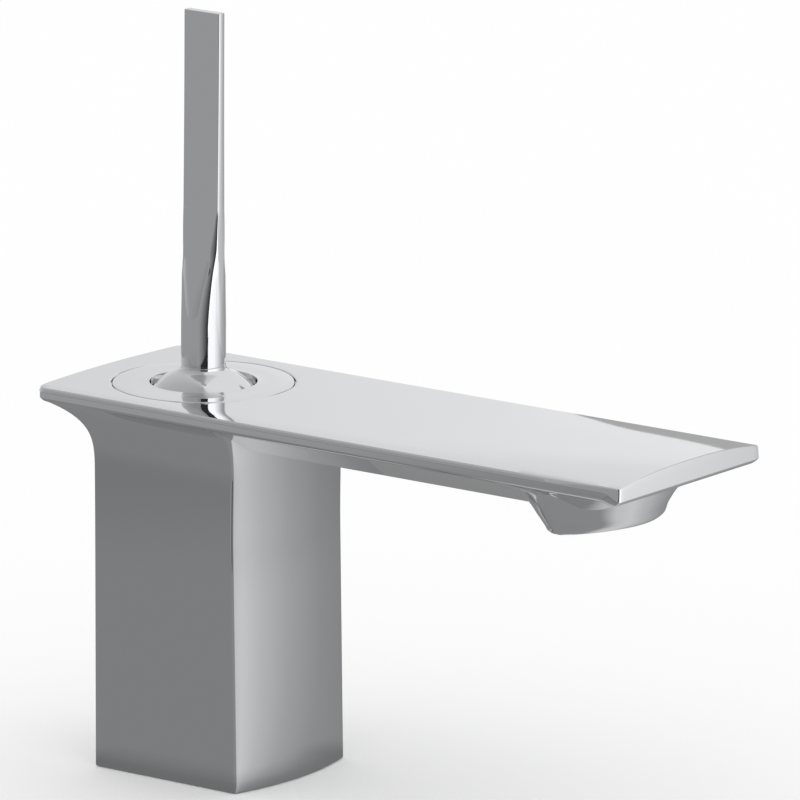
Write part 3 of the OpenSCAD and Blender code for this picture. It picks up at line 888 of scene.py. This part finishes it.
        # Radius, lower and upper level and place along the spout
        bores = [
            (node_radius("trim_ring") + play, deck - TrimRing.thickness, deck + self.cut_over, 0.0),
            (self.nut_room, node_low("trim_ring") - 2 * play, deck, 0.0),
            (node_radius("handle_dome") + self.dome_room, node_top("cartridge_nut"), deck, 0.0),
            (node_radius("cartridge_nut") + play, node_low("cartridge_nut") - play, deck, 0.0),
            (node_radius("cartridge_housing") + play, node_low("cartridge_base") + self.peg_room, deck, 0.0),
            (node_radius("aerator_housing") + play, deck - self.outlet_low, node_top("aerator_seal"),
             self.outlet_x),
        ]
        cuts = [rod("cut", radius, high - low, Matrix.Translation(Vector((x, 0, (low + high) / 2)) * MM))
                for radius, low, high, x in bores]
        cuts.append(self.ring_seat())
        foot = BowedOutline(back=self.foot_wall - self.pillar_back, front=self.pillar_front - self.foot_wall,
                            half_width=self.pillar_width / 2 - self.foot_wall,
                            back_radius=1.0, front_radius=1.0,
                            back_bow=self.back_bow, front_bow=self.front_bow)
        cuts.append(lofted("cut", [foot.ring(-self.cut_under), foot.ring(self.foot_core_top)]))
        return cuts

    def ring_seat(self) -> bpy.types.Object:
        """Turns the seat of the trim ring, whose rim is rounded over a little more than its radius.

        Returns:
            The solid to cut out.
        """
        wall = node_radius("trim_ring") + self.ring_seat_play
        inside, outside = wall - self.cut_inside, wall + self.ring_seat_rim[-1][0]
        profile = [(inside, -self.ring_seat_depth), (wall, -self.ring_seat_depth)]
        profile += [(wall + out, up) for out, up in self.ring_seat_rim]
        profile += [(outside, self.cut_over), (inside, self.cut_over)]
        return turned("cut", [(r, self.deck + z) for r, z in profile], 192)

    def build(self) -> None:
        """Joins and cuts the casting and seats it."""
        shell = self.pillar()
        combine(shell, [self.plate(), self.belly(), self.boss()], "UNION")
        combine(shell, self.cavities(), "DIFFERENCE")
        shell.name = "casting_shell"
        finish_piece(shell, "root", Finish.CASTING, "body_casting")


# Ring, dome and lever


@dataclass
class TrimRing:
    """Flat ring let into the top round the dome, in millimetres."""

    hole: float = 14.87
    thickness: float = 2.0
    # Soft edge of the hole: distance out and depth, and how far out the dished top begins
    hole_edge: Pairs = ((0.0, 0.2), (0.05, 0.07))
    top_from: float = 0.15
    # Soft outer edge: its radius, then the distance in and the depth of its points, as shares of the radius
    edge: float = 0.4
    edge_round: Pairs = ((1.0, 0.0), (0.62, 0.08), (0.3, 0.3), (0.08, 0.62), (0.0, 1.0))
    play: float = 0.12
    # The top rises towards the hole from this radius, by this much per square millimetre
    flat_from: float = 19.0
    rise: float = 0.0133
    collar_outer: float = 21.3
    collar_inner: float = 19.2

    def top_at(self, radius: float, top: float) -> float:
        """Returns the level of the ring's dished top at a radius, with the level of its flat part given."""
        return top + self.rise * (self.flat_from - radius) ** 2

    def build(self) -> None:
        """Turns the ring, with soft edges, and its collar under it."""
        outer = node_radius("trim_ring") - self.play
        low, top = node_low("trim_ring"), node_top("trim_ring")
        base = top - self.thickness
        hole, edge, steps = self.hole, self.edge, 10
        rim, start = self.top_at(hole, top), hole + self.top_from
        profile = [(hole, base)] + [(hole + out, rim - depth) for out, depth in self.hole_edge]
        for i in range(steps + 1):
            radius = start + (self.flat_from - start) * i / steps
            profile.append((radius, self.top_at(radius, top)))
        profile += [(outer - edge * inset, top - edge * depth) for inset, depth in self.edge_round]
        profile += [(outer, base), (self.collar_outer, base), (self.collar_outer, low),
                    (self.collar_inner, low), (self.collar_inner, base)]
        ring = turned("trim_ring_polished", profile, 192)
        finish_piece(ring, "root", Finish.TURNED, "trim_ring")


@dataclass
class Handle:
    """Domed skirt and the lever, round at its foot and a thin blade at its tip, in millimetres."""

    # Level of the pivot, which is also the dome's centre, and of the flat top
    pivot: float
    deck: float

    # Dome and its hub round the spindle
    dome_radius: float = 18.6
    dome_wall: float = 1.7
    skirt_angle: float = 76.0
    # Fillet of the neck: distance out from the stem, and rise over the level where the dome meets it
    neck_fillet: Pairs = ((0.02, 0.8), (0.08, 0.4), (0.28, 0.08))
    # Where the inner arc ends, as a share of the neck's angle
    inner_end: float = 1.4
    hub_radius: float = 8.5
    hub_bore: float = 5.05
    hub_low: float = 4.0
    hub_top: float = 14.0

    # Lever: its height over the flat top, its forward lean in degrees, its round foot and how far that
    # foot sinks into the dome
    height: float = 104.2
    lean: float = 0.5
    stem: float = 6.2
    sunk: float = 0.3
    # Levels between which the foot turns into the blade, and the share of the change at the middle one
    morph_low: float = 124.0
    morph_turn: float = 143.0
    morph_high: float = 157.0
    turn_share: float = 0.775
    thin_power: float = 1.5
    corner_power: float = 3.0

    # Blade: half its breadth and half its thickness at its root and its tip
    root_breadth: float = 5.98
    tip_breadth: float = 6.05
    root_half: float = 1.62
    tip_half: float = 1.25
    blade_edge: float = 0.22
    tip_edge: float = 0.2
    # Inset and depth of the line that rounds the tip's edge
    tip_round: float = 0.06
    # What a round corner leaves of a side, and the least radius of a corner
    least_side: float = 0.01
    least_corner: float = 0.05
    # Outward bow of the narrow sides, and the height over which it sets in
    bulge: float = 0.2
    bulge_run: float = 24.0
    # How nearly a corner becomes a bevel, which starts below the middle level and fades at the blade's root
    bevel_share: float = 0.75
    bevel_below: float = 6.0
    bevel_run: float = 9.0
    bevel_fade: float = 2.0

    # Points round a corner, along a broad face and along a narrow side
    corner_steps: int = 12
    broad_steps: int = 10
    thin_steps: int = 6

    # Square socket of the spindle and the bore of its grub screw
    socket_half: float = 2.85
    socket_depth: float = 24.4
    socket_over_deck: float = 3.0
    bore_radius: float = 2.05
    bore_over_deck: float = 9.0

    def seat(self) -> float:
        """Returns the level where the lever stands on the dome."""
        return self.pivot + math.sqrt(self.dome_radius ** 2 - self.stem ** 2)

    def dome(self) -> None:
        """Turns the skirt, with its neck fillet against the stem and its hub."""
        outer, inner, steps = self.dome_radius, self.dome_radius - self.dome_wall, 40
        neck_angle = math.asin(self.stem / outer)
        rim = math.radians(self.skirt_angle)
        neck = self.pivot + outer * math.cos(neck_angle)
        profile = [(self.stem + out, neck + up) for out, up in self.neck_fillet]
        # The fillet takes the place of as many points of the outer arc
        for i in range(len(self.neck_fillet), steps + 1):
            angle = neck_angle + (rim - neck_angle) * i / steps
            profile.append((outer * math.sin(angle), self.pivot + outer * math.cos(angle)))
        for i in range(steps + 1):
            angle = rim + (neck_angle * self.inner_end - rim) * i / steps
            profile.append((inner * math.sin(angle), self.pivot + inner * math.cos(angle)))
        hub_low = self.deck - self.hub_low
        profile += [(self.hub_radius, self.pivot + self.hub_top), (self.hub_radius, hub_low),
                    (self.hub_bore, hub_low), (self.hub_bore, neck)]
        dome = turned("dome_polished", profile, 160)
        finish_piece(dome, "lever", Finish.TURNED, "handle_dome", crease=40.0)

    def section(self, z: float) -> tuple[float, float, float]:
        """Works out the lever's section.

        Args:
            z: The level.

        Returns:
            Half its breadth, half its thickness and its corner radius.
        """
        if z <= self.morph_low:
            return self.stem, self.stem, self.stem - self.least_side
        if z >= self.morph_high:
            share = (z - self.morph_high) / (self.deck + self.height - self.morph_high)
            breadth = self.root_breadth + (self.tip_breadth - self.root_breadth) * share
            thin = self.tip_half + (self.root_half - self.tip_half) * (1 - share) ** 2
            return breadth, thin, self.blade_edge
        if z < self.morph_turn:
            share = self.turn_share * (z - self.morph_low) / (self.morph_turn - self.morph_low)
        else:
            rest = (z - self.morph_turn) / (self.morph_high - self.morph_turn)
            share = self.turn_share + (1 - self.turn_share) * rest
        thin = self.root_half + (self.stem - self.root_half) * (1 - share ** self.thin_power)
        breadth = self.stem + (self.root_breadth - self.stem) * ease(share)
        round_corner = min(thin, breadth) - self.least_side
        corner = self.blade_edge + (round_corner - self.blade_edge) * (1 - share ** self.corner_power)
        return breadth, thin, corner

    def corner(self, quarter: int, middle: tuple[float, float], radius: float, bevel: float) -> Points:
        """Draws a corner of the section, between a quarter round and a bevel.

        Args:
            quarter: Which corner, counter-clockwise from the one at +X and +Y.
            middle: Distance of its centre from the section's, along and across the spout.
            radius: Its radius.
            bevel: Share of the bevel in it.

        Returns:
            Its points.
        """
        first, last = math.radians(90 * quarter), math.radians(90 * quarter + 90)
        side_x, side_y = ((1, 1), (-1, 1), (-1, -1), (1, -1))[quarter]
        points = []
        for i in range(self.corner_steps + 1):
            t = i / self.corner_steps
            angle = first + (last - first) * t
            x, y = ((1 - bevel) * turn(angle) + bevel * (turn(first) * (1 - t) + turn(last) * t)
                    for turn in (math.cos, math.sin))
            points.append((side_x * middle[0] + radius * x, side_y * middle[1] + radius * y))
        return points

    def ring(self, z: float, inset: float = 0.0) -> Ring:
        """Draws the lever's section.

        Args:
            z: The level.
            inset: How far the section is drawn in.

        Returns:
            The section's points, in metres.
        """
        breadth, thin, radius = (size - inset for size in self.section(z))
        radius = max(radius, self.least_corner)
        middle = (breadth - radius, thin - radius)
        started = ease((z - self.morph_turn + self.bevel_below) / self.bevel_run)
        ended = ease((z - self.morph_high) / self.bevel_fade + 0.5)
        bevel = self.bevel_share * started * (1 - ended)
        corners = [self.corner(quarter, middle, radius, bevel) for quarter in range(4)]
        points = []
        for quarter, corner in enumerate(corners):
            steps = self.thin_steps if quarter % 2 else self.broad_steps
            (x0, y0), (x1, y1) = corner[-1], corners[(quarter + 1) % 4][0]
            points += corner
            points += [(x0 + (x1 - x0) * i / steps, y0 + (y1 - y0) * i / steps) for i in range(1, steps)]
        bulge = self.bulge * limited((z - self.morph_low) / self.bulge_run)
        ahead = (z - self.seat()) * math.tan(math.radians(self.lean))
        shaped = []
        for x, y in points:
            if abs(x) > middle[0] - 1e-6:
                x += math.copysign(bulge * (1 - min(1.0, abs(y) / thin) ** 2), x)
            shaped.append(Vector((x + ahead, y, z)) * MM)
        return shaped

    def lever(self) -> None:
        """Lofts the lever from its seat on the dome to its flat tip, and cuts its socket and bore."""
        morph_steps, blade_steps = 40, 16
        seat, low, high = self.seat(), self.morph_low, self.morph_high
        tip = self.deck + self.height
        blade = tip - self.tip_edge - high
        levels = [seat - self.sunk, seat, (seat + low) / 2]
        levels += [low + (high - low) * i / morph_steps for i in range(morph_steps + 1)]
        levels += [high + blade * i / blade_steps for i in range(1, blade_steps + 1)]
        rings = [self.ring(z) for z in levels]
        rings += [self.ring(tip - self.tip_round, self.tip_round), self.ring(tip, self.tip_edge)]
        lever = lofted("lever_polished", rings)
        side, depth = 2 * self.socket_half * MM, self.socket_depth * MM
        middle = Matrix.Translation((0, 0, (self.deck + self.socket_over_deck) * MM))
        bm = bmesh.new()
        bmesh.ops.create_cube(bm, size=1.0, matrix=middle @ Matrix.Diagonal((side, side, depth, 1)))
        socket = mesh_object(bm, "socket")
        back = Matrix.Translation((-self.stem * MM, 0, (self.deck + self.bore_over_deck) * MM))
        level = Matrix.Rotation(math.pi / 2, 4, "Y")
        bore = rod("bore", self.bore_radius, 2 * self.stem, back @ level, steps=48)
        combine(lever, [socket, bore], "DIFFERENCE")
        finish_piece(lever, "lever", Finish.FORGED, "handle_lever", crease=20.0)

    def build(self) -> None:
        """Builds the dome and the lever."""
        self.dome()
        self.lever()


# Studio


def only_in_reflections(piece: bpy.types.Object) -> None:
    """Leaves a stage piece to glossy rays alone.

    Args:
        piece: The stage piece.
    """
    piece.visible_camera = False
    piece.visible_diffuse = False
    piece.visible_shadow = False
    piece.visible_transmission = False
    piece.visible_volume_scatter = False


def azimuth_tone(tree: bpy.types.NodeTree, stops: Iterable[tuple[float, float]], start: float = -180.0,
                 end: float = 180.0,
                 centre: tuple[float, float, float] = (0.0, 0.0, 0.0)) -> bpy.types.NodeSocket:
    """Draws a grey level by azimuth round an upright axis.

    Args:
        tree: The node tree that takes the nodes.
        stops: Place between the first azimuth and the last, from 0 to 1, and level.
        start: First azimuth, in degrees.
        end: Last azimuth, in degrees.
        centre: Point that the azimuth turns about.

    Returns:
        The socket of the level.
    """
    place = add_node(tree, "ShaderNodeTexCoord").outputs["Object"]
    about = add_node(tree, "ShaderNodeVectorMath", {"operation": "SUBTRACT"}, in0=place, in1=centre)
    parts = add_node(tree, "ShaderNodeSeparateXYZ", Vector=about.outputs["Vector"])
    angle = add_node(tree, "ShaderNodeMath", {"operation": "ARCTAN2"},
                     in0=parts.outputs["Y"], in1=parts.outputs["X"])
    share = add_node(tree, "ShaderNodeMapRange", Value=angle.outputs[0],
                     From_Min=math.radians(start), From_Max=math.radians(end))
    ramp = add_node(tree, "ShaderNodeValToRGB", Fac=share.outputs["Result"])
    fill_ramp(ramp, stops)
    return ramp.outputs["Color"]


def all_round(tones: Pairs) -> Points:
    """Turns azimuths from -180 to 180 degrees into places from 0 to 1."""
    return [((azimuth + 180) / 360, level) for azimuth, level in tones]


@dataclass(frozen=True)
class Card:
    """Curved card round the tap that only its mirror finish sees, in metres and degrees."""

    name: str
    start: float
    end: float
    radius: float
    low: float
    high: float
    # Place from the card's start, from 0 to 1, and light level
    tones: Pairs
    # Top edge at the start, where it differs, and how fast the edge then comes to its full height
    first_high: float | None = None
    climb: float = 1.6

    def sheet(self) -> bpy.types.Object:
        """Spins an upright edge into the card and trims its top.

        Returns:
            The card's mesh.
        """
        bm = bmesh.new()
        first = math.radians(self.start)
        foot = Vector((math.cos(first), math.sin(first), 0)) * self.radius
        verts = [bm.verts.new(foot + Vector((0, 0, z))) for z in (self.low, self.high)]
        edge = bm.edges.new(verts)
        bmesh.ops.spin(bm, geom=verts + [edge], cent=(0, 0, 0), axis=(0, 0, 1),
                       angle=math.radians(self.end - self.start), steps=48)
        if self.first_high is not None:
            for vert in bm.verts:
                if vert.co.z > (self.low + self.high) / 2:
                    azimuth = math.degrees(math.atan2(vert.co.y, vert.co.x))
                    share = self.climb * (azimuth - self.start) / (self.end - self.start)
                    vert.co.z = self.first_high + (self.high - self.first_high) * min(1.0, share)
        return mesh_object(bm, self.name)

    def build(self) -> None:
        """Lights the card by its azimuth and puts it on the stage."""
        card = self.sheet()
        material, tree = new_material(self.name)
        strongest = max(level for _, level in self.tones)
        tone = azimuth_tone(tree, [(at, level / strongest) for at, level in self.tones],
                            self.start, self.end)
        glow = add_node(tree, "ShaderNodeEmission", Color=tone, Strength=strongest)
        add_node(tree, "ShaderNodeOutputMaterial", Surface=glow.outputs[0])
        card.data.materials.append(material)
        only_in_reflections(card)


CARDS = (
    # White card to the right, which fades towards the back
    Card("white_card", start=-28.5, end=83, radius=0.47, low=-0.01, high=0.45,
         tones=((0.0, 1.5), (0.3, 1.45), (0.41, 1.2), (0.525, 0.98), (0.58, 0.86), (0.63, 0.7), (0.8, 0.5),
                (1.0, 0.38))),
    # Shaded card in front, which darkens towards the white one
    Card("shade_card", start=-84, end=-29, radius=0.31, low=-0.01, high=0.3,
         tones=((0.0, 0.37), (0.17, 0.36), (0.29, 0.31), (0.473, 0.235), (0.673, 0.14), (0.855, 0.06),
                (1.0, 0.03))),
    # Black card inside the shaded one, for the dark part of the lever
    Card("black_card", start=-66, end=-29, radius=0.3, low=0.14, high=0.28,
         tones=((0.0, 0.03), (1.0, 0.03))),
    # Low grey card behind, whose top edge climbs at its start
    Card("low_card", start=92, end=116, radius=0.37, low=-0.01, high=0.164,
         tones=((0.0, 0.44), (1.0, 0.44)), first_high=0.125),
)


@dataclass
class Studio:
    """Pale floor, white surround, light tent and camera, in metres and degrees."""

    # Camera: a long lens at the photograph's distance and angle
    yaw: float = 37.391
    pitch: float = 13.31
    distance: float = 3.0703
    aim: tuple[float, float, float] = (0.04328, 0.03258, 0.10249)
    lens_mm: float = 501.1
    sensor_mm: float = 36.0

    # Tent: azimuth round the tap and light level, for its wall and its crown
    tent_radius: float = 1.3
    tent_low: float = -0.02
    wall_tones: Pairs = (
        (-180, 0.6), (-127, 0.37), (-75, 0.30), (-30, 0.5), (50, 0.8), (100, 0.92), (122, 0.9), (130, 0.78),
        (150, 0.7), (180, 0.6))
    crown_tones: Pairs = (
        (-180, 0.5), (-127, 0.46), (-75, 0.44), (-45, 0.5), (-12, 0.85), (50, 0.88), (100, 0.85),
        (130, 0.82), (150, 0.62), (180, 0.5))
    # Heights, as shares of the radius, between which the wall passes into the crown, and how far it does
    crown_from: float = 0.26
    crown_to: float = 0.4
    crown_share: float = 0.9

    # Floor in reflections: azimuth round the pillar's near corner and light level, then the far floor
    floor_radius: float = 6.0
    floor_drop: float = 0.0001
    near_corner: tuple[float, float, float] = (0.03, -0.0245, 0.0)
    floor_tones: Pairs = (
        (-180, 0.26), (-100, 0.26), (-40, 0.29), (2, 0.3), (11, 0.64), (22, 0.7), (33, 0.57), (50, 0.43),
        (70, 0.33), (90, 0.28), (180, 0.26))
    far_floor_tone: float = 0.425
    far_floor_from: float = 0.41
    far_floor_to: float = 0.52
    # Shade at the foot, by the distance from the pillar's outline, and a slow fall further out
    foot_middle: tuple[float, float, float] = (0.006, 0.0, 0.0)
    foot_half: tuple[float, float, float] = (0.0277, 0.0245, 0.001)
    foot_shade: float = 0.7
    foot_shade_reach: float = 0.025
    fall_from: float = 0.24
    fall_to: float = 0.38
    fall_shade: float = 0.87
    # Paper of the floor as the camera sees it, just short of full white
    paper_tone: float = 0.995

    def tent(self) -> None:
        """Builds the dome of the light tent, whose wall passes softly into its crown."""
        bm = bmesh.new()
        bmesh.ops.create_uvsphere(bm, u_segments=96, v_segments=48, radius=self.tent_radius)
        bmesh.ops.bisect_plane(bm, geom=bm.verts[:] + bm.edges[:] + bm.faces[:],
                               plane_co=(0, 0, self.tent_low), plane_no=(0, 0, 1), clear_inner=True)
        tent = mesh_object(bm, "light_tent")
        material, tree = new_material("tent_cloth")
        place = add_node(tree, "ShaderNodeTexCoord").outputs["Object"]
        height = add_node(tree, "ShaderNodeSeparateXYZ", Vector=place).outputs["Z"]
        rise = add_node(tree, "ShaderNodeMapRange", {"interpolation_type": "SMOOTHSTEP"}, Value=height,
                        From_Min=self.crown_from * self.tent_radius,
                        From_Max=self.crown_to * self.tent_radius, To_Max=self.crown_share)
        tone = add_node(tree, "ShaderNodeMix", {"data_type": "RGBA"}, Factor=rise.outputs["Result"],
                        in6=azimuth_tone(tree, all_round(self.wall_tones)),
                        in7=azimuth_tone(tree, all_round(self.crown_tones)))
        glow = add_node(tree, "ShaderNodeEmission", Color=tone.outputs[2], Strength=1.0)
        add_node(tree, "ShaderNodeOutputMaterial", Surface=glow.outputs[0])
        tent.data.materials.append(material)
        only_in_reflections(tent)

    def painted_floor_light(self, tree: bpy.types.NodeTree, reach: bpy.types.NodeSocket) -> bpy.types.NodeSocket:
        """Draws the painted light on the floor that reflections show: a grey by azimuth near the tap and an
        even grey far from it.

        Args:
            tree: The node tree that takes the nodes.
            reach: Distance from the origin.

        Returns:
            The socket of the tone.
        """
        away = add_node(tree, "ShaderNodeMapRange", {"interpolation_type": "SMOOTHSTEP"}, Value=reach,
                        From_Min=self.far_floor_from, From_Max=self.far_floor_to)
        far = self.far_floor_tone
        tone = add_node(tree, "ShaderNodeMix", {"data_type": "RGBA"}, Factor=away.outputs["Result"],
                        in6=azimuth_tone(tree, all_round(self.floor_tones), centre=self.near_corner),
                        in7=(far, far, far, 1.0))
        return tone.outputs[2]

    def floor_shade(self, tree: bpy.types.NodeTree, place: bpy.types.NodeSocket,
                    reach: bpy.types.NodeSocket) -> bpy.types.NodeSocket:
        """Draws the shade that reflections show at the foot and further out.

        Args:
            tree: The node tree that takes the nodes.
            place: Place on the floor.
            reach: Distance from the origin.

        Returns:
            The socket of the shade's strength.
        """
        across = add_node(tree, "ShaderNodeVectorMath", {"operation": "SUBTRACT"}, in0=place,
                          in1=self.foot_middle)
        folded = add_node(tree, "ShaderNodeVectorMath", {"operation": "ABSOLUTE"},
                          in0=across.outputs["Vector"])
        past = add_node(tree, "ShaderNodeVectorMath", {"operation": "SUBTRACT"},
                        in0=folded.outputs["Vector"], in1=self.foot_half)
        outside = add_node(tree, "ShaderNodeVectorMath", {"operation": "MAXIMUM"},
                           in0=past.outputs["Vector"], in1=(0.0, 0.0, 0.0))
        gap = add_node(tree, "ShaderNodeVectorMath", {"operation": "LENGTH"}, in0=outside.outputs["Vector"])
        contact = add_node(tree, "ShaderNodeMapRange", {"interpolation_type": "SMOOTHSTEP"},
                           Value=gap.outputs["Value"], From_Max=self.foot_shade_reach,
                           To_Min=self.foot_shade, To_Max=1.0)
        fall = add_node(tree, "ShaderNodeMapRange", {"interpolation_type": "SMOOTHSTEP"}, Value=reach,
                        From_Min=self.fall_from, From_Max=self.fall_to, To_Min=1.0, To_Max=self.fall_shade)
        shade = add_node(tree, "ShaderNodeMath", {"operation": "MULTIPLY"},
                         in0=contact.outputs["Result"], in1=fall.outputs["Result"])
        return shade.outputs[0]

    def floor(self) -> None:
        """Builds the floor: white to the camera, with the tap's shadow, and in reflections a glowing grey
        with painted light and painted shade.
        """
        bm = bmesh.new()
        bmesh.ops.create_circle(bm, cap_ends=True, segments=96, radius=self.floor_radius,
                                matrix=Matrix.Translation((0, 0, -self.floor_drop)))
        floor = mesh_object(bm, "floor")
        material, tree = new_material("pale_floor")
        place = add_node(tree, "ShaderNodeTexCoord").outputs["Object"]
        reach = add_node(tree, "ShaderNodeVectorMath", {"operation": "LENGTH"}, in0=place).outputs["Value"]
        glow = add_node(tree, "ShaderNodeEmission", Color=self.painted_floor_light(tree, reach),
                        Strength=self.floor_shade(tree, place, reach))
        white = self.paper_tone
        paper = add_node(tree, "ShaderNodeBsdfDiffuse", Color=(white, white, white, 1.0))
        glossy = add_node(tree, "ShaderNodeLightPath").outputs["Is Glossy Ray"]
        mix = add_node(tree, "ShaderNodeMixShader", Fac=glossy, in1=paper.outputs[0], in2=glow.outputs[0])
        add_node(tree, "ShaderNodeOutputMaterial", Surface=mix.outputs[0])
        floor.data.materials.append(material)

    def world(self) -> None:
        """Lights the scene evenly and shows white behind the tap."""
        world = bpy.data.worlds.new("white_surround")
        world.use_nodes = True
        background = world.node_tree.nodes["Background"]
        background.inputs["Color"].default_value = (1.0, 1.0, 1.0, 1.0)
        background.inputs["Strength"].default_value = 1.0
        bpy.context.scene.world = world

    def camera(self) -> None:
        """Places the camera at the photograph's distance and angle."""
        yaw, pitch = math.radians(self.yaw), math.radians(self.pitch)
        back = Vector((math.sin(yaw) * math.cos(pitch), -math.cos(yaw) * math.cos(pitch), math.sin(pitch)))
        right = Vector((math.cos(yaw), math.sin(yaw), 0.0))
        up = back.cross(right)
        data = bpy.data.cameras.new("camera")
        data.sensor_width = self.sensor_mm
        data.lens = self.lens_mm
        data.clip_start = 0.1
        data.clip_end = 50.0
        camera = bpy.data.objects.new("camera", data)
        rotation = Matrix((right, up, back)).transposed().to_4x4()
        camera.matrix_world = Matrix.Translation(Vector(self.aim) + back * self.distance) @ rotation
        bpy.context.scene.collection.objects.link(camera)
        bpy.context.scene.camera = camera

    def build(self) -> None:
        """Builds the studio."""
        self.camera()
        self.world()
        self.floor()
        self.tent()
        for card in CARDS:
            card.build()
        bpy.context.scene.view_settings.view_transform = "Standard"


def main() -> None:
    """Builds the studio and the tap."""
    logging.basicConfig(level=logging.INFO, format="%(message)s")
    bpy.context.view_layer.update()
    Studio().build()
    deck = node_top("trim_ring")
    tilt = next(joint for joint in frame["joints"] if joint["name"] == "handle_tilt")
    pivot = tilt["pos_m"][2] / MM
    Casting(deck).build()
    TrimRing().build()
    Handle(pivot, deck).build()
    dress_nodes()


if __name__ == "__main__":
    main()
